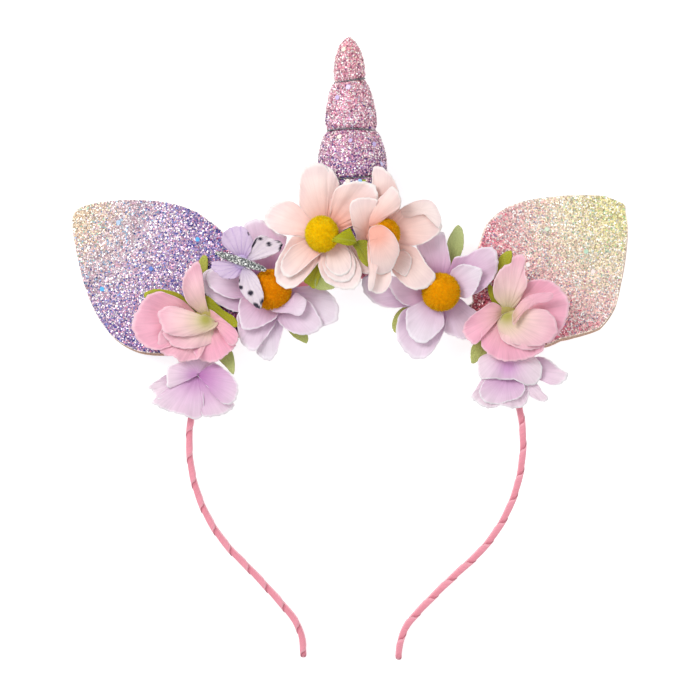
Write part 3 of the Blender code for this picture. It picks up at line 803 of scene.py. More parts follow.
def make_ties():
    thread = silver_thread()
    for tie in TIES:
        ring = horn_radius(tie_base(tie)) - TIE_GROOVE + THREAD_OUT
        steps = round(2 * pi * ring / THREAD_STEP)
        angle = np.arange(steps) * 2 * pi / steps
        height = HORN_LENGTH - tie_place(tie, angle)
        twists = round(2 * pi * ring / THREAD_TWIST)
        strands = []
        for strand in range(THREAD_STRANDS):
            phase = twists * angle + strand * 2 * pi / THREAD_STRANDS
            radius = ring + THREAD_STRAND * np.cos(phase)
            path = np.stack([radius * np.sin(angle), -radius * np.cos(angle),
                             height + THREAD_STRAND * np.sin(phase)], -1)
            strands.append(tube(path, THREAD_STRAND, THREAD_SIDES))
        points, faces = join_meshes(strands)
        make_piece(tie[0] + "_thread", moved(points, HORN_MATRIX), faces, [thread],
                   [tie[0]])


make_horn()
make_horn_flakes()
make_ties()

# Leaves
# Small leaves cut from green cloth and pressed with a midrib and veins. They are glued under the
# flowers, so that only their tips show.
LEAF_CLOTH = 0.30
LEAF_MIDRIB = 0.25
LEAF_FRILL = 0.08
SHEET_ROWS = 20
SHEET_AROUND = 64
SHEET_INNER = 0.06     # where a sheet starts, as a share from its foot to its rim
SHEET_FOOT = 0.005     # the same where the rim closes round the foot
SHEET_FLAT = 5.0       # how wide the flat map of a sheet is for each radian round its foot
CURVE_STEPS = 12
RAGGED = 0.05          # how far the rim wanders for each millimetre of frill, as a share
# The rim's colour below is the silks' painted rim highlight with its painted shade line.
RIM_FADE = 0.3         # how fast the rim's colour ends beside an open side, for each millimetre
RIM_CUTS = ((13, 1.0, 7), (21, 0.8, 8))     # waves round the rim, size, which random phase
RIM_WAVES = ((3, 0.6, 0), (5, 0.4, 1))
RIM_FRILLS = ((8, 1.0, 2), (13, 0.7, 5))
CRUMPLES = (0.55, 0.50)    # radians for each millimetre in x and in y
CRUMPLE_SHARE = 0.45
FOLDS = 6
FOLD_SHARE = 0.4
MIDRIB_HALF = 0.09
LEAVES = {
    # sheets: shade (0 fresh, 1 dusty), foot x and y, height of foot, middle and tip, cup, ripple,
    # and the outline from one side of the foot round the tip to the other
    "leaf_1": (
        (0.3, (-54, 16.5), 14.9, 15.2, 15.6, 0.4, 0.2,
         ((-55.5, 24), (-56, 29.5), (-55.5, 33), (-54, 35), (-52.5, 34), (-52.5, 31),
          (-53, 27.5), (-53.5, 23.5))),
        (0.05, (-51, 16), 17.6, 17.6, 17.4, 0.3, 0.1,
         ((-53.5, 20), (-51, 19), (-47, 15), (-42.5, 12), (-41, 9), (-43.5, 8.5),
          (-48, 10.5), (-52, 14.5), (-53.5, 17.5))),
    ),
    "leaf_2": (
        (0.1, (-55.5, 12.5), 15, 15.3, 15.6, 0.4, 0.3,
         ((-59, 16.5), (-62.5, 20.5), (-67, 22), (-71.5, 22.5), (-75, 21.5), (-76, 20),
          (-73.5, 17.5), (-68, 15.5), (-61, 13.5))),
    ),
    "leaf_3": (
        (0.85, (-50, 5.5), 14.5, 14.5, 14.4, 0.4, 0.2,
         ((-51, 0), (-48.5, -3.5), (-45.5, -6.5), (-43, -9), (-42.5, -5), (-43.5, -0.5),
          (-46.5, 3))),
    ),
    "leaf_4": (
        (0.1, (-10.5, 32.5), 24.2, 23.2, 22, 0.5, 0.2,
         ((-12.5, 31.5), (-15.5, 28.5), (-17, 25.5), (-15.5, 24), (-13, 22.5), (-11.5, 25.5),
          (-10, 30))),
    ),
    "leaf_5": (
        (0.65, (-26, 15.5), 12.1, 12.1, 12, 0.4, 0.2,
         ((-25, 10.5), (-21.5, 5.5), (-18.5, 3.5), (-16, 2.5), (-15.5, 5), (-17.5, 7.5),
          (-21, 12))),
    ),
    "leaf_6": (
        (1, (36, 27.5), 12.3, 12.6, 13, 0.6, 0.3,
         ((34.5, 32.5), (35.5, 37.5), (36.5, 41.5), (39.5, 46), (41.5, 44.5), (42, 39.5),
          (41, 35.5), (39, 32))),
    ),
    "leaf_7": (
        (0.6, (27.5, 17.5), 12, 12, 12, 0.4, 0.2,
         ((20.5, 16.5), (17, 13.5), (15.5, 9.5), (16.5, 6.5), (18.5, 7.5), (22, 11))),
    ),
    "leaf_8": (
        (0.1, (56, 22), 15, 15.3, 15.7, 0.5, 0.3,
         ((54, 27.5), (54, 31), (55, 34), (57, 36), (59.5, 36.5), (59.5, 33), (58, 30),
          (57.5, 26))),
    ),
    "leaf_9": (
        (0.7, (53, 7.5), 14.4, 14.4, 14.4, 0.4, 0.2,
         ((49.5, 4.5), (45.5, 2), (44.5, -1), (45, -5), (48, -3.5), (51, -1), (53, 3))),
    ),
    "leaf_10": (
        (0.1, (54, 14.5), 14.9, 15, 15.1, 0.3, 0.1,
         ((52, 18.5), (51, 21.5), (51, 24), (52.5, 23.5), (54, 21), (55.5, 17.5))),
    ),
    "leaf_11": (
        (0, (2.5, 39.5), 33, 33.8, 34.2, 0.8, 0.3,
         ((0, 44.5), (-3.5, 42.5), (-7, 40), (-4.5, 39), (-0.5, 38), (2.5, 39))),
        (0.15, (2.5, 39), 31.2, 30.2, 28.6, 0.6, 0.3,
         ((1, 39), (2.5, 36), (3.5, 33), (6.5, 30.5), (6.5, 36), (6, 40))),
    ),
    "leaf_12": (
        (0.9, (-11.5, 28.5), 23.4, 22.4, 21.2, 0.4, 0.2,
         ((-13, 25.5), (-12.5, 22.5), (-9, 22), (-5.5, 23), (-8.5, 25.5), (-10.5, 27))),
    ),
}


def band_top(y):
    return band_height(y) + BAND_WIDTH / 2 / cos(radians(BAND_LEAN))


def smooth_edge(outline, closed, count):
    """The outline as a smooth curve through its points, at equal steps of length."""
    knots = np.array(outline, float)
    if closed:
        knots = np.vstack([knots[-1], knots, knots[:2]])
    else:
        knots = np.vstack([2 * knots[0] - knots[1], knots, 2 * knots[-1] - knots[-2]])
    curve = []
    for k in range(1, len(knots) - 2):
        t = np.linspace(0, 1, CURVE_STEPS, endpoint=False)[:, None]
        before, here, there, after = knots[k - 1:k + 3]
        curve.append(here + 0.5 * t * (there - before)
                     + 0.5 * t ** 2 * (2 * before - 5 * here + 4 * there - after)
                     + 0.5 * t ** 3 * (3 * here - before - 3 * there + after))
    curve = np.vstack([*curve, knots[-2:-1]])
    walked = np.concatenate([[0.0], np.cumsum(np.hypot(*np.diff(curve, axis=0).T))])
    steps = np.linspace(0, walked[-1], count)
    return np.stack([np.interp(steps, walked, curve[:, k]) for k in range(2)], -1), walked[-1]


def is_inside(spot, outline):
    """Whether a point lies inside a ring of points."""
    inside = False
    for (ax, ay), (bx, by) in zip(outline, outline[-1:] + outline[:-1]):
        if (ay > spot[1]) != (by > spot[1]):
            if spot[0] < (bx - ax) * (spot[1] - ay) / (by - ay) + ax:
                inside = not inside
    return inside


def waves(turn, table, phase):
    return sum(size * np.sin(count * turn + phase[which]) for count, size, which in table)


def cut_sheet(sheet, seed, midrib, frill, heart=None):
    """A cut and pressed sheet as a fan of points from its foot to its rim.

    midrib is the depth of the line along its middle and frill the size of the small waves in its
    rim. heart is the middle of its flower, from where its colours run outward. Returns points,
    faces, shares outward, across and to the rim, and a flat map.
    """
    tone, foot, foot_height, middle_height, tip_height, cup, ripple, outline = sheet
    rng = np.random.default_rng(seed)
    phase = rng.uniform(0, 2 * pi, 9)
    turn = np.linspace(0, 2 * pi, SHEET_AROUND)
    closed = is_inside(foot, outline)
    rim, rim_length = smooth_edge(outline, closed, SHEET_AROUND)
    spread = (rim - np.array(foot)) * (1 + RAGGED * frill * waves(turn, RIM_CUTS, phase))[:, None]
    if closed:
        spread[-1] = spread[0]
    way = spread.mean(axis=0)
    way /= np.linalg.norm(way)
    ahead, aside = spread @ way, spread @ np.array([-way[1], way[0]])
    reach = np.linspace(SHEET_FOOT if closed else SHEET_INNER, 1, SHEET_ROWS)[:, None]
    place = np.array(foot) + reach[..., None] * spread
    along = reach * ahead / ahead.max()
    across = reach * aside / np.abs(aside).max()
    height = (foot_height + (4 * middle_height - 3 * foot_height - tip_height) * along
              + (2 * foot_height + 2 * tip_height - 4 * middle_height) * along ** 2)
    height = height + cup * across ** 2
    wave = waves(turn, RIM_WAVES, phase) * reach ** 4
    crumple = (np.sin(CRUMPLES[0] * place[..., 0] + phase[3])
               * np.sin(CRUMPLES[1] * place[..., 1] + phase[4]) * ease(reach * 2.5))
    fold = np.sin(FOLDS * turn + phase[6]) * reach * (1 - reach ** 2)
    height = height + ripple * (wave + CRUMPLE_SHARE * crumple + FOLD_SHARE * fold)
    height = height + frill * waves(turn, RIM_FRILLS, phase) * reach ** 7
    line = np.exp(-(across / MIDRIB_HALF) ** 2) * ease(along * 4) * (1 - reach ** 4)
    height = height - midrib * line
    points = np.concatenate([place, height[..., None]], -1).reshape(-1, 3)
    from_side = np.minimum(turn, 2 * pi - turn) / (2 * pi) * rim_length * reach
    side = np.zeros_like(from_side) if closed else np.clip(1 - RIM_FADE * from_side, 0, 1)
    to_rim = np.maximum(reach + 0 * along, side)
    outward = np.linalg.norm(place - np.array(foot if heart is None else heart), axis=-1)
    flat = np.stack([np.tile(turn * SHEET_FLAT, (SHEET_ROWS, 1)),
                     reach * np.linalg.norm(spread, axis=1)], -1)
    faces = grid_faces(SHEET_ROWS, SHEET_AROUND)
    corner = points[[SHEET_AROUND // 2, SHEET_AROUND // 2 + 1, SHEET_AROUND + SHEET_AROUND // 2]]
    if np.cross(corner[1] - corner[0], corner[2] - corner[0])[2] < 0:
        faces = [face[::-1] for face in faces]
    shares = np.stack([outward / outward.max(), np.abs(across), to_rim], -1).reshape(-1, 3)
    return points, faces, shares, flat.reshape(-1, 2)


def join_sheets(sheets):
    """Points, faces, shares and map of several sheets as one piece."""
    points, faces = join_meshes([sheet[:2] for sheet in sheets])
    return points, faces, *(np.concatenate([sheet[k] for sheet in sheets]) for k in (2, 3))


def leaf_cloth():
    """Green leaf cloth: a pale midrib, side veins, grey-green where it is older."""
    material, tree, shader = start_material("leaf_cloth", 0.7, sheen=0.05, specular=0.2)
    along, across, shade = read_place(tree)
    fresh = ramp(tree, along, [(0.0, srgb(140, 138, 0)), (0.6, srgb(170, 166, 6)),
                               (1.0, srgb(178, 180, 24))])
    dusty = ramp(tree, along, [(0.0, srgb(150, 164, 88)), (0.6, srgb(184, 194, 128)),
                               (1.0, srgb(200, 208, 150))])
    cloth = read_cloth(tree)
    mottle = noise(tree, 2.6, 6.0, cloth)
    body = shaded(tree, blend(tree, shade, fresh, dusty), mottle,
                  [(0.32, (0.56, 0.6, 0.5)), (0.66, (1.16, 1.16, 1.14))])
    split = add_node(tree, "SeparateXYZ", {"Vector": cloth})
    aside = maths(tree, "MULTIPLY", maths(tree, "ABSOLUTE", split.outputs["X"]), 0.9)
    slope = maths(tree, "SUBTRACT", split.outputs["Y"], aside)
    vein = maths(tree, "SINE", maths(tree, "MULTIPLY", slope, 3.2))
    vein = ramp(tree, vein, [(0.80, (0, 0, 0)), (1.0, (1, 1, 1))])
    midrib = ramp(tree, across, [(0.0, (1, 1, 1)), (0.10, (0, 0, 0))])
    lines = blend(tree, 1.0, vein, midrib, "LIGHTEN")
    paint(tree, shader, blend(tree, lines, body, blend(tree, 0.16, body, srgb(206, 214, 140))))
    press(tree, shader, lines, 0.6, 0.2)
    return material


def make_leaves():
    cloth = leaf_cloth()
    for number, (name, sheets) in enumerate(LEAVES.items()):
        cut = []
        for index, sheet in enumerate(sheets):
            points, faces, shares, flat = cut_sheet(sheet, 40 + 7 * number + index, LEAF_MIDRIB,
                                                    LEAF_FRILL)
            shares[:, 2] = sheet[0]
            cut.append((points, faces, shares, flat))
        points, faces, shares, flat = join_sheets(cut)
        make_piece(name + "_cloth", points, faces, [cloth], [name], place=shares, uv=flat,
                   thickness=LEAF_CLOTH)


make_leaves()

# Daisies
# Petals of pressed silk in two layers on one hub: two peach flowers glued to the foot of the horn,
# and two lilac ones on the band. Each has a dense yellow pompom of cut yarn in its middle.
HUB_RADIUS = 4.5
HUB_HEIGHT = 2.0
HUB_AROUND = 28
HUB_HOLE = 0.1
HUB_PROFILE = (
    # share of the radius, height in millimetres, share of the hub's height added to it
    (0.0, 0.35, 0.0), (0.5, 0.1, 0.0), (0.86, 0.0, 0.0), (1.0, 0.35, 0.0),
    (1.0, 0.0, 0.6), (0.86, 0.0, 0.92), (0.4, 0.0, 1.0), (0.0, 0.0, 0.9),
)
PETAL_CLOTH = 0.14
PETAL_MAP_STEP = (37.0, 11.0)    # from one petal to the next in the flat map
PETAL_SEE_THROUGH = 0.14
YARN_SEE_THROUGH = 0.12
DAISY_FRILL = 0.12
POMPOM_SQUASH = 0.74
POMPOM_FIBRES = 5200
POMPOM_FIBRE = (1.5, 0.11)       # length and half thickness
POMPOM_REACH = (0.70, 1.22)      # shortest and longest fibre, as shares of the length
POMPOM_STRAIGHT = 0.55           # share of a fibre before its bend
POMPOM_BEND = 0.34
POMPOM_CORE_DEPTH = 0.48         # how deep the core lies, as a share of the length
POMPOM_LUMP = 0.02
POMPOM_LUMP_WAY = (3.1, 2.3, 1.7)
POMPOM_SCATTER = 0.02
POMPOM_TAPER = 0.9               # thickness of a fibre at its bend
# painted shade at each fibre's bend, as a share of its tip's colour
POMPOM_BEND_PAINTED_SHADE = 0.92
DAISIES = {
    # petals, lower ones first, in the columns of the leaves with the tone (0 pale, 1 deep) for
    # the shade. An outline that goes round its foot is a whole ring.
    # The deep tone is partly the silk's own colour and partly painted shade.
    "daisy_peach_left": (
        (0.45, (-5, 41.5), 25.2, 25.6, 25.8, 0.4, 0.2,
         ((-2, 39.5), (2, 41), (5.5, 38), (7.5, 33), (7.5, 28.5), (5, 28), (2, 30),
          (-0.5, 33.5))),
        (0.35, (-9, 43), 24.6, 27, 27.4, -1, 0.3,
         ((-11, 49.5), (-10, 58.5), (-10, 66.5), (-7, 66.5), (-4, 61.5), (-4.5, 58),
          (-6, 51))),
        (0.25, (-9, 43), 25, 27.6, 28.4, -1.4, 0.4,
         ((-15.5, 49), (-18.5, 53), (-18.5, 59), (-18, 64.5), (-15.5, 67.5), (-12, 68.5),
          (-9, 67.5), (-7.5, 64.5), (-7, 58.5), (-6.5, 50.5))),
        (0.2, (-9, 43), 25, 22.8, 18.8, 1, 0.5,
         ((-16, 49.5), (-19.5, 53.5), (-23.5, 55), (-28, 53.5), (-30.5, 51), (-31.5, 48.5),
          (-31, 46), (-28.5, 44), (-25.5, 42.5), (-21, 42), (-17, 41.5))),
        (0.45, (-9, 43), 25.4, 29.2, 31, 0.6, 1,
         ((-7, 50.5), (-6.5, 56), (-4.5, 59.5), (-1, 61), (3.5, 61.5), (8.5, 60.5),
          (10, 57.5), (10, 53.5), (6.5, 50.5), (2.5, 46.5), (-1, 44.5), (-4.5, 43))),
        (0.15, (-9, 43), 24.8, 26.2, 27.6, 1.4, 0.5,
         ((-16.5, 41), (-21, 41.5), (-24, 37.5), (-27, 32), (-27.5, 28), (-26.5, 24.5),
          (-23.5, 22.5), (-20, 23), (-16, 26.5), (-12, 31.5), (-9, 36))),
        (0.55, (-9.5, 42.5), 26, 27.9, 29.2, 1.6, 0.3,
         ((-17, 40), (-21.5, 37.5), (-25, 32.5), (-25, 28.5), (-22.5, 26.5), (-18.5, 28.5),
          (-13.5, 33), (-9.5, 36))),
        (0, (-8, 43), 24.9, 27, 28.6, 0.8, 0.6,
         ((-9, 36.5), (-11.5, 32), (-11, 28.5), (-9, 25), (-5.5, 23), (-2, 22), (2, 22.5),
          (4, 26), (4, 30.5), (1.5, 35), (-1, 39), (-4, 39.5))),
        (0.05, (-8, 43), 25.3, 27.3, 28.5, 0.7, 0.3,
         ((-8.5, 36.5), (-10, 31.5), (-8.5, 27.5), (-5, 25), (-1, 25), (1.5, 27.5), (2, 32),
          (0, 36.5), (-2.5, 39))),
        (0.1, (-8, 43), 25.7, 27.6, 28.4, 0.6, 0.2,
         ((-7.5, 36.5), (-9, 32), (-7, 28.5), (-3.5, 27), (0, 29), (0.5, 33), (-1, 37.5),
          (-3.5, 39))),
    ),
    "daisy_peach_right": (
        (0.35, (12.5, 46), 25.5, 28, 29, -1, 0.5,
         ((8, 49.5), (8, 56.5), (8, 62), (8.5, 66.5), (11, 67), (14, 65), (16, 62.5),
          (17.5, 59), (18.5, 55.5), (18.5, 52.5), (17, 50), (15, 48))),
        (0.55, (7.5, 46), 31.6, 33.6, 32.4, -1.4, 0.3,
         ((7, 47.5), (8.5, 51), (10, 54.5), (12.5, 57), (15, 59.5), (17, 58.5), (18.5, 55.5),
          (18.5, 53), (16.5, 50.5), (13.5, 48.5), (10.5, 46), (7.5, 45))),
        (0.6, (13, 43), 25, 23.4, 20.2, 0.8, 0.6,
         ((16, 50), (18.5, 51.5), (21.5, 53), (25.5, 54.5), (29, 55), (31.5, 53), (33.5, 48),
          (33.5, 44), (31, 41.5), (27, 39), (22, 38), (18.5, 37.5))),
        (0.1, (25.5, 51.5), 24.4, 23.6, 23, -0.6, 0.2,
         ((16.5, 50), (21.5, 53.5), (25.5, 55), (29, 55), (31.5, 53), (33.5, 48),
          (32.5, 44.5), (30.5, 47.5), (28, 49.5), (25, 49.5), (21, 48.5))),
        (0.35, (13, 40.5), 24.6, 25.6, 25, 1.2, 0.5,
         ((15, 32), (18.5, 36.5), (21.5, 36.5), (24, 37.5), (26, 35), (28, 31.5), (31, 28),
          (31, 25.5), (28.5, 23), (25, 22), (22, 22.5), (18.5, 25), (15.5, 28.5))),
        (0.75, (15, 35), 25.6, 26.4, 26, 0.8, 0.2,
         ((15.5, 31.5), (18, 36), (20.5, 36), (22.5, 33.5), (22, 30), (20.5, 27), (18, 28),
          (15.5, 30))),
        (0.4, (6, 43), 28, 31.6, 33.4, 1, 0.3,
         ((1, 45), (0, 50), (0, 53), (2, 55), (6, 55.5), (10, 54.5), (8.5, 51), (7, 47),
          (7, 41), (3, 39.5), (2, 42.5))),
        (0.3, (12, 32), 29.4, 30, 29.6, 1.6, 0.3,
         ((9, 30.5), (7.5, 25.5), (7.5, 22), (10, 20.5), (13, 21.5), (15, 25), (15, 28.5),
          (15, 31.5))),
        (0.45, (10, 40.5), 36, 35.8, 31, -1, 0.3,
         ((7, 39.5), (7, 44), (10, 45.5), (12.5, 45), (15.5, 42.5), (17.5, 39), (18, 36),
          (17, 33), (15, 29), (11.5, 27.5), (8.5, 29), (7.5, 34))),
        (0.15, (7.5, 35.5), 34.2, 34, 31.4, -0.8, 0.3,
         ((6.5, 39.5), (9, 39), (10.5, 33), (9.5, 27.5), (8.5, 22.5), (7, 21.5), (6.5, 24),
          (7, 28.5), (6.5, 33))),
    ),
    "daisy_lilac_left": (
        (0.75, (-29, 22), 14.3, 15.6, 16.4, -0.8, 0.5,
         ((-37, 30), (-39.5, 37), (-40, 43.5), (-38.5, 46.5), (-36, 48), (-32.5, 48),
          (-29.5, 45.5), (-27, 43), (-23.5, 42), (-24, 38.5), (-25.5, 34), (-26, 29.5))),
        (0.6, (-29, 22), 14.2, 15.2, 15.8, 1, 0.4,
         ((-37, 26), (-42.5, 29.5), (-50.5, 30), (-53.5, 29), (-54.5, 26.5), (-54, 23),
          (-52.5, 19.5), (-48, 16.5), (-41.5, 14), (-37, 16))),
        (0.55, (-29, 22), 14.9, 17, 18.2, 1.6, 0.3,
         ((-36, 27.5), (-40.5, 30), (-46, 31), (-51, 29.5), (-53, 27), (-51.5, 23),
          (-48, 20.5), (-44, 19), (-40.5, 19), (-36, 19.5))),
        (0, (-29, 22), 13.8, 14.4, 14.6, 0.6, 0.5,
         ((-32.5, 15), (-31, 9), (-32.5, 3.5), (-34.5, -0.5), (-32.5, -3), (-29.5, -4),
          (-27, -1), (-26, 3), (-24.5, 8.5), (-25, 14))),
        (0.5, (-29, 22), 14.3, 16.4, 17.4, 1, 0.5,
         ((-38, 17.5), (-41.5, 13), (-41.5, 10.5), (-41, 5.5), (-39.5, 2), (-35.5, -0.5),
          (-32.5, 2.5), (-29.5, 6.5), (-26.5, 12), (-28, 16.5))),
        (0.8, (-29, 22), 16, 19, 20, 1.6, 0.3,
         ((-37.5, 19), (-40, 19), (-41, 15.5), (-40.5, 10.5), (-39, 7.5), (-34, 8),
          (-30, 10), (-27, 12), (-27, 15.5), (-30, 18.5))),
        (0.05, (-29, 22), 14.3, 15.6, 16.4, -0.6, 0.8,
         ((-23.5, 18.5), (-18.5, 23), (-14.5, 23.5), (-12, 23.5), (-8, 21.5), (-5, 18),
          (-4, 14.5), (-5, 10.5), (-9, 9), (-13, 7.5), (-18.5, 6.5), (-23, 7.5), (-26, 10.5),
          (-27.5, 14))),
        (0.45, (-29, 22), 15.4, 18, 18.2, 1, 0.5,
         ((-27.5, 13.5), (-26, 10), (-22.5, 7), (-17.5, 5.5), (-12.5, 6.5), (-10, 9.5),
          (-12, 13.5), (-14.5, 17.5), (-17.5, 19), (-21.5, 20))),
        (0.55, (-20.5, 16), 22.4, 22.2, 21.6, -0.8, 0.2,
         ((-29.5, 16), (-28, 14), (-22.5, 13.5), (-19, 12.5), (-17, 14), (-16, 18),
          (-18, 20), (-20, 21), (-22, 18.5), (-25, 16.5))),
    ),
    "daisy_lilac_right": (
        (0.65, (33.5, 21.5), 14.2, 16, 16.8, 0.8, 0.4,
         ((28.5, 28.5), (27.5, 34), (24.5, 38.5), (28.5, 41.5), (34, 43.5), (35.5, 40),
          (37, 32.5), (37, 28.5))),
        (0.85, (33.5, 21.5), 14.2, 16.4, 17.4, 1.2, 0.5,
         ((37.5, 30), (38.5, 34), (43, 35), (46.5, 37), (50.5, 38), (53.5, 37), (54.5, 33),
          (54, 28.5), (51, 24), (47, 21), (42.5, 19.5))),
        (0.1, (33.5, 21.5), 16, 18.8, 19.6, 1.2, 0.3,
         ((37.5, 29.5), (41, 31.5), (45, 31), (48.5, 29.5), (48, 26), (46, 21.5), (43, 19),
          (39.5, 20))),
        (0.35, (33.5, 21.5), 14.2, 15.2, 15.6, 0.8, 0.4,
         ((34.5, 14), (34.5, 10.5), (35, 6.5), (38.5, 5), (42.5, 4), (45, 9.5), (47, 13.5),
          (44, 16), (40.5, 19), (37.5, 18.5))),
        (0.6, (33.5, 21.5), 14.2, 15.4, 15.8, 0.8, 0.5,
         ((29, 22), (23, 25), (16.5, 27), (9, 27.5), (5, 27), (4.5, 24.5), (5, 21.5),
          (8, 18), (12, 16), (16, 15.5), (22, 16), (27.5, 17.5))),
        (0.8, (33.5, 21.5), 15.4, 17.6, 17.8, 1.2, 0.3,
         ((28.5, 23), (22, 26), (15.5, 27), (14, 25), (15.5, 21), (18.5, 17.5), (22.5, 16),
          (27, 17.5))),
        (0.45, (33.5, 21.5), 14.2, 16.2, 17.2, 1.2, 0.5,
         ((27.5, 18.5), (22, 16), (18.5, 13.5), (17, 8.5), (17.5, 3.5), (20.5, -1),
          (24, -3.5), (28.5, -2.5), (31.5, 1), (34.5, 6.5), (35.5, 12), (33, 16.5))),
        (0.05, (33.5, 21.5), 16, 18.8, 19.8, 1.2, 0.3,
         ((28.5, 17.5), (24, 16.5), (21, 15), (20.5, 11.5), (21, 7), (23.5, 3.5),
          (27.5, 2.5), (31.5, 5.5), (34.5, 9), (34, 12.5), (31.5, 16))),
    ),
}
BAND_SEATS = {
    # flower: x, y, height of the hub's underside over the band
    "daisy_lilac_left": (-28.9, 22.2, 0.5),
    "daisy_lilac_right": (33.4, 21.3, 0.5),
    "sweet_pea_left": (-52.9, 11.1, 3.8),
    "sweet_pea_right": (57.5, 12.6, 3.8),
    "bell_left": (-57.4, -9.6, 0.5),
    "bell_right": (58.2, -6.2, 0.5),
}
HORN_SEATS = {
    # flower: distance from the horn's tip, angle round the horn
    "daisy_peach_left": (71.6, -35.0),
    "daisy_peach_right": (72.3, 35.0),
}
POMPOMS = {
    # flower: radius, light colour, body colour, deep colour
    # The light and deep colours are partly the yarn's own and partly painted highlight and painted shade.
    "daisy_peach_left": (7.0, (255, 244, 66), (255, 228, 14), (248, 196, 0)),
    "daisy_peach_right": (5.9, (255, 216, 50), (252, 192, 14), (238, 150, 0)),
    "daisy_lilac_left": (7.8, (255, 208, 50), (252, 180, 12), (228, 134, 0)),
    "daisy_lilac_right": (7.4, (255, 218, 50), (254, 196, 12), (240, 158, 0)),
}


def flower_seat(name):
    """Frame of a flower's hub, +Z away from what it is glued to."""
    if name in BAND_SEATS:
        x, y, height = BAND_SEATS[name]
        return Matrix.Translation((x, y, band_top(y) + height))
    distance, angle = HORN_SEATS[name]
    out = Matrix.Rotation(radians(angle), 4, "Z") @ Matrix.Rotation(radians(90), 4, "X")
    foot = Matrix.Translation((0, 0, HORN_LENGTH - distance))
    return HORN_MATRIX @ foot @ out @ Matrix.Translation((0, 0, horn_radius(distance) + GAP))


def let_light_through(tree, shader, colour, normal, share):
    """A share of the light goes through the cloth and comes out in its own colour."""
    through = add_node(tree, "BsdfTranslucent", {"Color": colour, "Normal": normal})
    both = add_node(tree, "MixShader", {"Fac": share})
    tree.links.new(shader.outputs["BSDF"], both.inputs[1])
    tree.links.new(through.outputs["BSDF"], both.inputs[2])
    tree.links.new(both.outputs["Shader"], tree.nodes["Material Output"].inputs["Surface"])


def silk(name, light, dark, rim, rim_highlight_share, streak):
    """Pressed petal silk: two sets of colours from the foot to the tip, streaks and a fine weave.

    rim_highlight_share is how far the painted highlight along the rim turns to the rim's colour, beside a
    painted shade line just inside it, and streak how bright the darkest of the fine lines stay.
    """
    material, tree, shader = start_material(name, 0.75, sheen=0.10, specular=0.2)
    along, reach, tone = read_place(tree)
    # Deeper towards the heart and in the deep tone: partly the silk's own colour, partly painted shade.
    colour = blend(tree, tone, ramp(tree, along, light), ramp(tree, along, dark))
    # A painted shade line just inside the rim, then a painted highlight along the rim itself.
    colour = shaded(tree, colour, reach, [(0.74, 1.0), (0.925, (0.95, 0.92, 0.94)), (0.965, 1.0)])
    rim_highlight = ramp(tree, reach, [(0.945, (0, 0, 0)), (0.99, (rim_highlight_share,) * 3)])
    colour = blend(tree, rim_highlight, colour, rim)
    drawn = add_node(tree, "Mapping", {"Vector": read_cloth(tree), "Scale": (1.6, 0.07, 1.0)})
    lines = noise(tree, 1.0, 4.0, drawn.outputs["Vector"])
    colour = shaded(tree, colour, lines, [(0.35, streak), (0.62, 1.0)])
    colour = shaded(tree, colour, noise(tree, 140.0), [(0.35, (0.95, 0.93, 0.94)), (0.6, 1.0)])
    paint(tree, shader, colour)
    here = add_node(tree, "TexCoord").outputs["Object"]
    grid = add_node(tree, "Mapping", {"Vector": here, "Scale": (1000, 1000, 1)}).outputs["Vector"]
    warp, weft = (add_node(tree, "TexWave", {"Vector": grid, "Scale": 1.1}, bands_direction=way)
                  for way in "XY")
    weave = maths(tree, "MULTIPLY", warp.outputs["Fac"], weft.outputs["Fac"])
    height = maths(tree, "ADD", maths(tree, "MULTIPLY", weave, 0.25), lines)
    normal = press(tree, shader, height, 0.35, 0.18)
    let_light_through(tree, shader, colour, normal, PETAL_SEE_THROUGH)
    return material


def hub_disc(radius, height):
    """The pressed hub under a flower's petals: a low disc with a rounded edge and a dimple."""
    turn = np.arange(HUB_AROUND) * 2 * pi / HUB_AROUND
    points = []
    for share, low, rise in HUB_PROFILE:
        out = max(radius * share, HUB_HOLE)
        points += [(out * cos(angle), out * sin(angle), low + height * rise) for angle in turn]
    faces = grid_faces(len(HUB_PROFILE), HUB_AROUND, True)
    return np.array(points), [face[::-1] for face in faces]


def make_flower(name, petals, cloth, frill, seed):
    """All the petals of one flower and its hub, as one pressed piece."""
    hub, hub_faces = hub_disc(HUB_RADIUS, HUB_HEIGHT)
    hub_shares = np.tile((0.0, 0.0, 0.5), (len(hub), 1))
    seat = flower_seat(name)
    cut = [(moved(hub, seat), hub_faces, hub_shares, hub[:, :2])]
    for number, petal in enumerate(petals):
        points, faces, shares, flat = cut_sheet(petal, seed * 31 + number, 0.0, frill,
                                                tuple(seat.translation[:2]))
        shares = np.stack([shares[:, 0], shares[:, 2], np.full(len(shares), petal[0])], -1)
        cut.append((points, faces, shares, flat + number * np.array(PETAL_MAP_STEP)))
    points, faces, shares, flat = join_sheets(cut)
    make_piece(name + "_petals", points, faces, [cloth], [name], place=shares, uv=flat,
               thickness=PETAL_CLOTH)


def yarn():
    """Cut yarn pile in the colour that each fibre carries, with painted shade towards its root."""
    material, tree, shader = start_material("yarn_pile", 0.9, specular=0.05)
    tufts = noise(tree, 900.0, 3.0)
    colour = shaded(tree, read_tint(tree), tufts, [(0.3, (0.86, 0.80, 0.6)), (0.7, (1.1, 1.08, 1.0))])
    paint(tree, shader, colour)
    normal = press(tree, shader, tufts, 0.4, 0.2)
    let_light_through(tree, shader, colour, normal, YARN_SEE_THROUGH)
    return material


YARN = yarn()


def unit(ways):
    return ways / np.linalg.norm(ways, axis=1)[:, None]


def pompom_core(radius):
    """The slightly lumpy ball inside the yarn."""
    bm = bmesh.new()
    bmesh.ops.create_icosphere(bm, subdivisions=4, radius=radius)
    core = np.array([v.co for v in bm.verts])
    faces = [tuple(v.index for v in face.verts) for face in bm.faces]
    bm.free()
    return core * (1 + POMPOM_LUMP * np.sin(core @ np.array(POMPOM_LUMP_WAY))[:, None]), faces


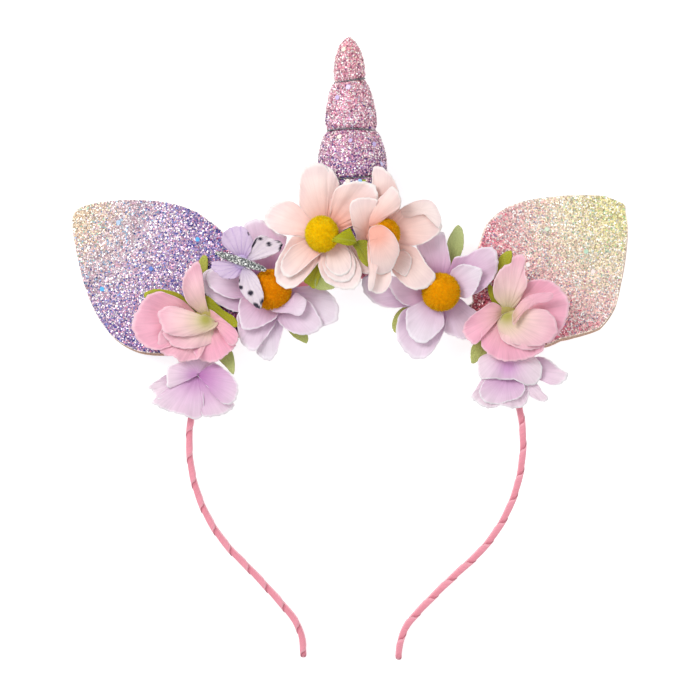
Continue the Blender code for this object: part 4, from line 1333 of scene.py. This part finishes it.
def pompom_fibres(radius, rng):
    """Tapered fibres all over a ball, each with three sides, one bend and seven points."""
    length, thick = POMPOM_FIBRE
    order = np.arange(POMPOM_FIBRES) + 0.5
    polar = np.arccos(1 - 2 * order / POMPOM_FIBRES)
    turn = pi * (1 + 5 ** 0.5) * order
    way = np.stack([np.sin(polar) * np.cos(turn), np.sin(polar) * np.sin(turn), np.cos(polar)], -1)
    way = unit(way + rng.normal(0, POMPOM_SCATTER, way.shape))
    bend = unit(way + rng.normal(0, POMPOM_BEND, way.shape))
    reach = length * rng.uniform(*POMPOM_REACH, POMPOM_FIBRES)[:, None]
    root = way * (radius - length)
    elbow = root + way * reach * POMPOM_STRAIGHT
    tip = elbow + bend * reach * (1 - POMPOM_STRAIGHT)
    side = unit(np.cross(way, rng.normal(0, 1, way.shape)))
    other = np.cross(way, side)
    corners = [side * cos(t) + other * sin(t) for t in (0, 2 * pi / 3, 4 * pi / 3)]
    rows = [root + c * thick for c in corners]
    rows += [elbow + c * thick * POMPOM_TAPER for c in corners] + [tip]
    first = np.arange(POMPOM_FIBRES)[:, None] * 7
    faces = []
    for k in range(3):
        n = (k + 1) % 3
        faces += (first + np.array([[k, n, n + 3, k + 3]])).tolist()
        faces += (first + np.array([[k + 3, n + 3, 6]])).tolist()
    return np.stack(rows, 1).reshape(-1, 3), faces


def fibre_tints(colours, rng):
    """Colours of each fibre's seven points: deep as painted shade at its root, its own tone at its tip."""
    light, body, deep = (np.array(srgb(*colour)) for colour in colours)
    shade = rng.uniform(0, 1, (POMPOM_FIBRES, 1)) * 2
    tip = np.where(shade < 1, deep + (body - deep) * shade, body + (light - body) * (shade - 1))
    root = np.broadcast_to(deep, tip.shape)
    return np.stack([root] * 3 + [tip * POMPOM_BEND_PAINTED_SHADE] * 3 + [tip], 1).reshape(-1, 3), deep


def make_pompom(name, seed):
    """A round head of yarn: a soft core and thousands of short tapered fibres."""
    radius, *colours = POMPOMS[name]
    rng = np.random.default_rng(seed)
    core = pompom_core(radius - POMPOM_FIBRE[0] * POMPOM_CORE_DEPTH)
    points, faces = join_meshes([pompom_fibres(radius, rng), core])
    tints, deep = fibre_tints(colours, rng)
    # The core lies deep in the pile and takes the deep colour as painted shade.
    tints = np.concatenate([tints, np.tile(deep, (len(core[0]), 1))])
    centre = (0, 0, HUB_HEIGHT + GAP + radius * POMPOM_SQUASH)
    points = moved(points * (1, 1, POMPOM_SQUASH) + centre, flower_seat(name))
    make_piece(name + "_yarn", points, faces, [YARN], [name + "_pompom"], tint=tints)


# The rim colour and its share in each silk are a painted highlight along the petal rims.
PEACH_SILK = silk("peach_silk",
                  [(0.22, srgb(248, 190, 172)), (0.45, srgb(252, 218, 209)), (0.75, srgb(254, 234, 229)),
                   (1.0, srgb(255, 243, 240))],
                  [(0.18, srgb(243, 168, 150)), (0.45, srgb(250, 202, 191)), (0.78, srgb(253, 222, 214)),
                   (1.0, srgb(254, 232, 227))],
                  srgb(255, 252, 250), 0.75, 0.95)
LILAC_SILK = silk("lilac_silk",
                  [(0.20, srgb(210, 166, 212)), (0.50, srgb(236, 214, 234)), (0.80, srgb(243, 232, 242)),
                   (1.0, srgb(246, 240, 247))],
                  [(0.18, srgb(192, 126, 188)), (0.50, srgb(228, 184, 216)), (0.82, srgb(241, 212, 233)),
                   (1.0, srgb(247, 228, 243))],
                  srgb(255, 248, 254), 0.8, 0.94)
for number, (name, petals) in enumerate(DAISIES.items()):
    peach = "peach" in name
    make_flower(name, petals, PEACH_SILK if peach else LILAC_SILK,
                DAISY_FRILL, number + 1)
    make_pompom(name, 70 + number)

# Sweet peas
# One at each side of the head, of wide wavy petals that overlap: greenish cream at the heart and
# pink at the brim. They are pressed on a hub like the daisies' and glued over the ears' roots.
SWEET_PEA_FRILL = 0.17
SWEET_PEAS = {
    # petals as in the daisies
    "sweet_pea_left": (
        (0.85, (-54.5, 11), 16.8, 19.4, 20.2, 1.8, 0.8,
         ((-56.5, 13.5), (-59, 16), (-62, 18.5), (-66.5, 20.5), (-70.5, 21.5), (-75, 19.5),
          (-77.5, 16), (-79.5, 12), (-80, 8), (-78, 3.5), (-74.5, 1), (-70.5, 0), (-64.5, 2),
          (-59, 5.5))),
        (0.4, (-52.5, 12), 17, 20.4, 22.6, 2.2, 0.6,
         ((-56, 14), (-59, 16.5), (-60.5, 19), (-61.5, 23), (-61, 27), (-59, 30),
          (-56, 32.5), (-54.5, 30), (-54, 26), (-54.5, 23), (-53.5, 20), (-52.5, 16),
          (-51.5, 13))),
        (0.95, (-52.5, 10.5), 16.6, 18.8, 19.4, 1, 1,
         ((-59, 3.5), (-56.5, -2.5), (-52.5, -4.5), (-48.5, -4), (-45, -1.5), (-42, 1.5),
          (-43.5, 3.5), (-47, 6.5))),
        (0.6, (-53.5, 10.5), 17.4, 19.9, 20.4, 1, 1,
         ((-62.5, 9), (-68.5, 8), (-70.5, 4.5), (-70, 0), (-68, -2), (-64.5, -2.5),
          (-62.5, -4.5), (-59, -4), (-55.5, -3), (-53.5, 0.5), (-52.5, 4.5))),
        (0.35, (-51, 10), 18.4, 21.4, 21.8, -0.8, 0.6,
         ((-54, 12), (-62.5, 10.5), (-69, 7.5), (-67, 3.5), (-64, 1), (-58, 0.5), (-52, 2),
          (-47, 5), (-46.5, 8))),
        (0.9, (-51, 11.5), 18.6, 20.8, 21.2, 1.2, 0.5,
         ((-52.5, 15), (-50.5, 14.5), (-48, 12.5), (-45.5, 10.5), (-42, 7.5), (-41, 5),
          (-42, 2), (-44.5, 2), (-46.5, 5), (-47.5, 8), (-50, 10))),
        (0.3, (-48.5, 10.5), 20.4, 24, 24.4, -1.6, 0.4,
         ((-53, 13), (-56, 13), (-62, 15.5), (-67, 16), (-70.5, 13.5), (-69.5, 10),
          (-68, 6.5), (-63, 5), (-56, 5.5), (-50, 8), (-48.5, 9.5))),
    ),
    "sweet_pea_right": (
        (0.9, (59.5, 13.5), 17, 19.4, 20, 1.6, 0.7,
         ((62, 18.5), (65, 24.5), (69, 26), (73.5, 25.5), (77, 23), (80, 19), (80.5, 15.5),
          (79.5, 11), (77, 6.5), (72.5, 2.5), (68, 5.5))),
        (0.25, (58, 14), 17.2, 20.8, 23.2, 2, 0.6,
         ((54.5, 17.5), (53, 19.5), (52.5, 23), (53.5, 27), (56, 30.5), (59, 32), (60, 34.5),
          (64, 34.5), (64, 29.5), (65, 24.5), (64, 21.5), (62, 17.5), (60, 15))),
        (0.85, (57, 14), 17.4, 20.2, 20.8, 1.4, 0.6,
         ((55, 16.5), (52, 17.5), (48, 15), (44.5, 12.5), (42, 9.5), (41.5, 6.5), (43, 4),
          (45.5, 2), (47.5, 3.5), (48.5, 7), (50.5, 10.5), (53.5, 12))),
        (0.9, (57, 11), 17.6, 20.8, 21.4, 1.2, 0.8,
         ((51.5, 10.5), (49, 9), (48, 6), (48, 3.5), (48.5, 1), (51.5, -2), (56, -4),
          (61.5, -4), (66, -3), (70.5, -0.5), (71, 2), (66, 5.5))),
        (0.4, (58, 11.5), 19.6, 22.6, 22.6, -0.6, 0.6,
         ((55, 13), (54, 10.5), (54.5, 7), (56, 3.5), (59.5, 1.5), (64, 0), (69, 0.5),
          (71.5, 2), (68, 5.5), (62.5, 9))),
        (0.3, (55.5, 12), 21, 24.4, 24.2, -1.4, 0.4,
         ((56, 13), (60, 14.5), (64.5, 15), (70.5, 15), (73.5, 13.5), (75.5, 10.5),
          (76, 6.5), (73, 3), (69, 1.5), (64, 1.5), (59.5, 2.5), (56.5, 5), (54.5, 8),
          (55, 11))),
        (0.75, (67, 18.5), 25.6, 25.6, 26.2, -1.6, 0.3,
         ((59.5, 10), (59.5, 13), (61.5, 16.5), (64, 19), (67.5, 20.5), (72, 21),
          (74.5, 20.5), (73, 18), (68.5, 17), (65, 15), (62.5, 12.5), (60, 9))),
    ),
}
# Its rim colour is a painted highlight along the petal rims.
PINK_SILK = silk("pink_silk",
                 [(0.05, srgb(184, 188, 84)), (0.20, srgb(232, 224, 180)), (0.46, srgb(252, 226, 218)),
                  (0.75, srgb(253, 216, 220)), (1.0, srgb(250, 192, 208))],
                 [(0.05, srgb(200, 170, 120)), (0.25, srgb(244, 182, 192)), (0.70, srgb(248, 178, 202)),
                  (1.0, srgb(253, 196, 214))],
                 srgb(255, 228, 236), 0.5, 0.91)
for number, (name, petals) in enumerate(SWEET_PEAS.items()):
    make_flower(name, petals, PINK_SILK, SWEET_PEA_FRILL, number + 11)

# Bells
# One under each sweet pea, of short petals that cup into a bell: purple at the heart and nearly
# white at the brim.
BELL_FRILL = 0.15
BELLS = {
    # petals as in the daisies
    "bell_left": (
        (0.1, (-57.5, -9.5), 12.6, 14.6, 15, 1, 0.4,
         ((-63.5, -10), (-67.5, -9), (-71, -11), (-74.5, -13.5), (-73, -15), (-71.5, -17.5),
          (-70, -18), (-66.5, -15.5), (-62.5, -13))),
        (0.45, (-56.5, -9), 13.6, 15.8, 15.4, -0.8, 0.7,
         ((-55.5, -15.5), (-55, -21.5), (-54, -24.5), (-50, -24.5), (-46, -23.5),
          (-42.5, -20.5), (-45, -18.5), (-50, -15.5), (-53, -12))),
        (0.3, (-56.5, -9), 13.9, 16.4, 15.8, -1, 0.7,
         ((-62.5, -11), (-68, -14.5), (-73, -19), (-71.5, -20.5), (-67.5, -22.5),
          (-61.5, -24), (-58, -25.5), (-55, -25), (-54, -21.5), (-54, -14.5))),
        (0.75, (-56.5, -9), 14.8, 17.6, 17.6, -1, 0.5,
         ((-54, -12), (-51.5, -14.5), (-49.5, -17.5), (-46, -20), (-42.5, -19), (-41, -14),
          (-42.5, -10.5), (-45.5, -7.5), (-49.5, -5), (-52.5, -6))),
        (0.2, (-55.5, -9), 15.2, 17.4, 17.4, -1, 0.5,
         ((-59.5, -11), (-66.5, -14), (-67.5, -11), (-67, -6.5), (-64, -5), (-60, -3.5),
          (-56, -2.5), (-52.5, -3), (-49.5, -5), (-52.5, -7))),
    ),
    "bell_right": (
        (0.25, (58, -6), 13, 14.8, 15.2, 0.8, 0.4,
         ((66.5, -6.5), (68, -3), (70.5, -2.5), (74, -4), (77.5, -7), (80.5, -9),
          (78.5, -12), (75, -13), (71, -11.5), (67.5, -10))),
        (0.05, (61, -7.5), 13.4, 15, 15.2, 0.8, 0.4,
         ((64, -13.5), (67, -12), (69.5, -13), (71, -15.5), (73, -17.5), (72, -19),
          (69, -18.5), (66, -17))),
        (0.1, (58.5, -6.5), 14.2, 16.2, 15.8, -1.2, 0.7,
         ((48.5, -10.5), (46.5, -14), (44.5, -17), (45.5, -18.5), (49, -21), (52.5, -21.5),
          (56, -20.5), (59.5, -21.5), (63.5, -21), (65.5, -18.5), (66, -14), (64, -11))),
        (0.55, (58, -9), 15.6, 16.8, 16.4, 0.6, 0.3,
         ((49.5, -11), (47.5, -15.5), (49.5, -19), (54, -20), (58, -19), (62.5, -17.5),
          (64.5, -14), (62.5, -10.5))),
        (0, (58, 0.5), 16.6, 18.6, 17, -1.4, 0.5,
         ((51, -1), (47.5, -3), (47, -6.5), (48, -10.5), (52.5, -10.5), (56.5, -11),
          (60.5, -11), (65, -13), (68.5, -12.5), (70.5, -9.5), (70.5, -5.5), (68, -2.5))),
    ),
}
# Its rim colour is a painted highlight along the petal rims.
BELL_SILK = silk("bell_silk",
                 [(0.10, srgb(222, 172, 218)), (0.40, srgb(240, 212, 232)), (0.75, srgb(248, 230, 240)),
                  (1.0, srgb(253, 240, 246))],
                 [(0.08, srgb(168, 84, 164)), (0.40, srgb(206, 140, 200)), (0.75, srgb(232, 190, 224)),
                  (1.0, srgb(248, 228, 242))],
                 srgb(255, 252, 255), 1.0, 0.92)
for number, (name, petals) in enumerate(BELLS.items()):
    make_flower(name, petals, BELL_SILK, BELL_FRILL, number + 21)

# Butterfly
# Four stiff wings printed with veins and dark spots, cut as one sheet, and a spindle of silver
# glitter paste for its body. It is glued to the left lilac daisy and the ear beside it.
BUTTERFLY = (-39.9, 32.4, 24.4)
BUTTERFLY_BODY_TURN = -19.0
BUTTERFLY_BODY = (20.0, 1.3)     # length and radius
BODY_ROWS = 70
BODY_AROUND = 26
BODY_BLUNTNESS = 0.42
BODY_LUMPS = ((34, 2, 0.07), (61, -3, 0.05))    # waves along, waves round, size
BODY_PASTE = (96, 98, 100)
BODY_FLAKES = 1000
BODY_FLAKE_RADIUS = (0.22, 0.40)
BODY_FLAKE_TILT = 40.0
BODY_FLAKE_OUT = 1.04
# From white to near black: partly the silver's own tones, partly painted glints and dark reflections.
SILVERS = ((255, 255, 250), (216, 218, 212), (140, 144, 140), (56, 60, 60), (236, 238, 234),
           (190, 194, 190))
WING_SHEET = 0.25
WING_HUB_RADIUS = 2.6
WING_HUB_HEIGHT = 1.6
WING_HUB_COLOUR = (190, 170, 210)
WING_FRILL = 0.15
WING_VEINS = 4.5         # for each radian of the fan, times pi
WING_VEIN_HALF = 0.22
WING_VEIN_DEPTH = 0.6
WING_HEART = 0.25        # share of the wing that its dark heart covers
WING_HEART_DEPTH = 0.7
WING_SHEETS = (
    # printed ground (0 lilac, 1 white), then the columns of the leaves
    (0, (-39.5, 32.5), 25, 26.6, 27.2, 0.5, 0.5,
     ((-42, 35), (-45.5, 37.5), (-47, 40), (-46, 43), (-43, 45), (-39, 45), (-37, 43),
      (-35.5, 40), (-36, 37), (-37.5, 34))),
    (1, (-39, 32), 25, 26, 26.4, 0.5, 0.4,
     ((-37.5, 36), (-35.5, 38.5), (-34.5, 41), (-32, 42), (-28, 40.5), (-25, 39.5),
      (-25, 37.5), (-26, 36), (-29, 34.5), (-32, 33.5), (-36, 33))),
    (0, (-39, 31), 25, 25.4, 25.6, 0.5, 0.6,
     ((-40.5, 31.5), (-44.5, 32.5), (-48.5, 32.5), (-50.5, 32), (-50.5, 29.5),
      (-48.5, 28), (-47, 26.5), (-44, 26), (-41.5, 26.5), (-39.5, 28))),
    (1, (-39, 30.5), 25, 27.4, 28, 0.5, 0.4,
     ((-40, 28), (-40.5, 25.5), (-40.5, 23), (-39, 20), (-36, 17), (-33, 15), (-32, 17),
      (-31.5, 19.5), (-32.5, 23.5), (-34, 27), (-36.5, 29.5))),
)
WING_COLOURS = (
    # ground and veins of the lilac wings, then of the white ones
    ((208, 186, 212), (140, 92, 176)),
    ((216, 202, 210), (180, 160, 192)),
)
WING_MARKS = (
    # x, y, half length, half width, turn
    (-37.1, 42.6, 0.8, 0.3, -60),
    (-32.8, 40.7, 0.9, 0.7, 10),
    (-29.7, 38.7, 1.0, 0.8, -30),
    (-26.3, 40.0, 1.4, 0.5, -35),
    (-25.2, 37.5, 1.7, 0.6, 75),
    (-34.9, 39.3, 2.2, 0.4, 62),
    (-44.2, 25.7, 0.9, 0.3, 0),
    (-40.0, 22.9, 0.9, 0.7, -20),
    (-36.3, 20.8, 1.1, 1.0, 10),
    (-40.7, 25.1, 0.9, 0.3, 70),
    (-34.0, 16.1, 1.7, 0.7, -35),
    (-32.2, 17.7, 1.3, 0.7, 75),
)
WING_INK = (30, 22, 44)


def wing_print():
    """Printed wing sheet: ink in each point's own colour over a fine paper grain."""
    material, tree, shader = start_material("printed_wing", 0.5, sheen=0.1, specular=0.3)
    fibre = noise(tree, 1200.0, 3.0)
    paint(tree, shader, shaded(tree, read_tint(tree), fibre,
                               [(0.3, (0.93, 0.93, 0.95)), (0.7, 1.03)]))
    press(tree, shader, fibre, 0.2, 0.05)
    return material


def print_marks(paint, points):
    """The wing's colours with the dark spots printed over them."""
    for x, y, half_length, half_width, angle in WING_MARKS:
        dx, dy = points[:, 0] - x, points[:, 1] - y
        along = dx * cos(radians(angle)) + dy * sin(radians(angle))
        aside = dy * cos(radians(angle)) - dx * sin(radians(angle))
        far = np.hypot(along / half_length, aside / half_width)
        ink = np.clip((1.15 - far) / 0.3, 0, 1)[:, None]
        paint = paint + (np.array(srgb(*WING_INK)) - paint) * ink
    return paint


def make_wings():
    hub, hub_faces = hub_disc(WING_HUB_RADIUS, WING_HUB_HEIGHT)
    hub = moved(hub, Matrix.Translation(BUTTERFLY))
    cut = [(hub, hub_faces, np.tile(srgb(*WING_HUB_COLOUR), (len(hub), 1)), hub[:, :2])]
    for number, wing in enumerate(WING_SHEETS):
        points, faces, shares, flat = cut_sheet(wing, 90 + number, 0.0, WING_FRILL)
        ground, vein = (np.array(srgb(*colour)) for colour in WING_COLOURS[wing[0]])
        fan, outward = flat[:, 0] / SHEET_FLAT, shares[:, 0]
        strand = np.abs(np.sin(fan * WING_VEINS + 0.25 * np.sin(outward * 7)))
        line = np.exp(-(strand / WING_VEIN_HALF) ** 2) * ease(outward * 4) * (1 - 0.45 * outward)
        heart = np.exp(-(outward / WING_HEART) ** 2)
        mixed = np.clip(WING_VEIN_DEPTH * line + WING_HEART_DEPTH * heart, 0, 0.9)[:, None]
        cut.append((points, faces, print_marks(ground + (vein - ground) * mixed, points), flat))
    points, faces, tints, flat = join_sheets(cut)
    make_piece("butterfly_wings_print", points, faces, [wing_print()], ["butterfly_wings"],
               tint=tints, thickness=WING_SHEET)


def make_butterfly_body():
    """A spindle of glitter paste, lumpy, with small silver flakes standing out of it."""
    length, radius = BUTTERFLY_BODY
    rng = np.random.default_rng(8)
    share, turn = np.meshgrid(np.linspace(0.004, 0.996, BODY_ROWS),
                              np.arange(BODY_AROUND) * 2 * pi / BODY_AROUND, indexing="ij")
    size = radius * np.sin(pi * share) ** BODY_BLUNTNESS
    size = size * (1 + sum(lump * np.sin(along * share + around * turn)
                           for along, around, lump in BODY_LUMPS))
    points = np.stack([length * (share - 0.5), size * np.cos(turn), size * np.sin(turn)], -1)
    points = points.reshape(-1, 3)
    matrix = (Matrix.Translation(BUTTERFLY)
              @ Matrix.Translation((0, 0, WING_HUB_HEIGHT + GAP + radius))
              @ Matrix.Rotation(radians(BUTTERFLY_BODY_TURN), 4, "Z"))
    ground = np.tile(srgb(*BODY_PASTE), (len(points), 1))
    faces = [face[::-1] for face in grid_faces(BODY_ROWS, BODY_AROUND, True)]
    make_piece("butterfly_body_paste", moved(points, matrix), faces, [FINE_GLITTER],
               ["butterfly_body"], tint=ground)
    spot = rng.uniform(0.02, 0.98, BODY_FLAKES)
    turn = rng.uniform(0, 2 * pi, BODY_FLAKES)
    size = radius * np.sin(pi * spot) ** BODY_BLUNTNESS * BODY_FLAKE_OUT
    normal = np.stack([np.zeros(BODY_FLAKES), np.cos(turn), np.sin(turn)], -1)
    centre = normal * size[:, None]
    centre[:, 0] = length * (spot - 0.5)
    silvers = np.array([srgb(*colour) for colour in SILVERS])
    tints = silvers[rng.integers(0, len(silvers), BODY_FLAKES)]
    radii = rng.uniform(*BODY_FLAKE_RADIUS, BODY_FLAKES)
    points, hexagons, tints = flakes(centre, normal, radii, tints, rng, BODY_FLAKE_TILT)
    make_piece("butterfly_body_flakes", moved(points, matrix), hexagons, [FLAKE_FILM],
               tint=tints, smooth=False)


make_wings()
make_butterfly_body()

# Table, light and camera
# A pale table top under the headband, a soft light all round it with one large lamp high at the
# upper left, and a camera that looks straight down from far enough to show all of it.
TABLE_SIDE = 3.0       # metres, as every length in this section
TABLE_GAP = 0.0002
VIEW_ACROSS = 0.259    # width of the picture at the height of the flowers
VIEW_HEIGHT = 0.010
LENS = 200.0
SENSOR = 36.0
TABLE_GLOW = 0.70
SKY_STRENGTH = 0.68
LAMPS = (
    # name, place, size, watts
    ("key", (-0.45, 0.40, 0.75), 0.40, 5.2),
    ("fill", (0.60, -0.30, 0.60), 0.60, 1.0),
)


def make_table():
    bpy.ops.mesh.primitive_plane_add(size=TABLE_SIDE, location=(0, 0, -TABLE_GAP))
    table = bpy.context.object
    table.name = "table"
    material, tree, shader = start_material("pale_table", 0.9, specular=0.1)
    paint(tree, shader, ramp(tree, noise(tree, 40.0), [(0.3, (0.54,) * 3), (0.7, (0.56,) * 3)]))
    shader.inputs["Emission Color"].default_value = (1, 1, 1, 1)
    shader.inputs["Emission Strength"].default_value = TABLE_GLOW
    table.data.materials.append(material)


def make_lights():
    world = bpy.data.worlds.new("studio")
    world.use_nodes = True
    sky = world.node_tree.nodes["Background"]
    sky.inputs["Color"].default_value = (1.0, 1.0, 1.0, 1.0)
    sky.inputs["Strength"].default_value = SKY_STRENGTH
    bpy.context.scene.world = world
    for name, spot, side, power in LAMPS:
        lamp = bpy.data.lights.new(name, "AREA")
        lamp.size = side
        lamp.energy = power
        item = bpy.data.objects.new(name, lamp)
        item.location = spot
        item.rotation_mode = "QUATERNION"
        item.rotation_quaternion = (-Vector(spot)).to_track_quat("-Z", "Y")
        bpy.context.scene.collection.objects.link(item)


def make_camera():
    camera = bpy.data.cameras.new("camera")
    camera.lens = LENS
    camera.sensor_width = SENSOR
    camera.clip_end = 10.0
    item = bpy.data.objects.new("camera", camera)
    item.location = (0, 0, VIEW_ACROSS / SENSOR * LENS + VIEW_HEIGHT)
    bpy.context.scene.collection.objects.link(item)
    bpy.context.scene.camera = item


make_table()
make_lights()
make_camera()
bpy.context.scene.view_settings.view_transform = "Standard"
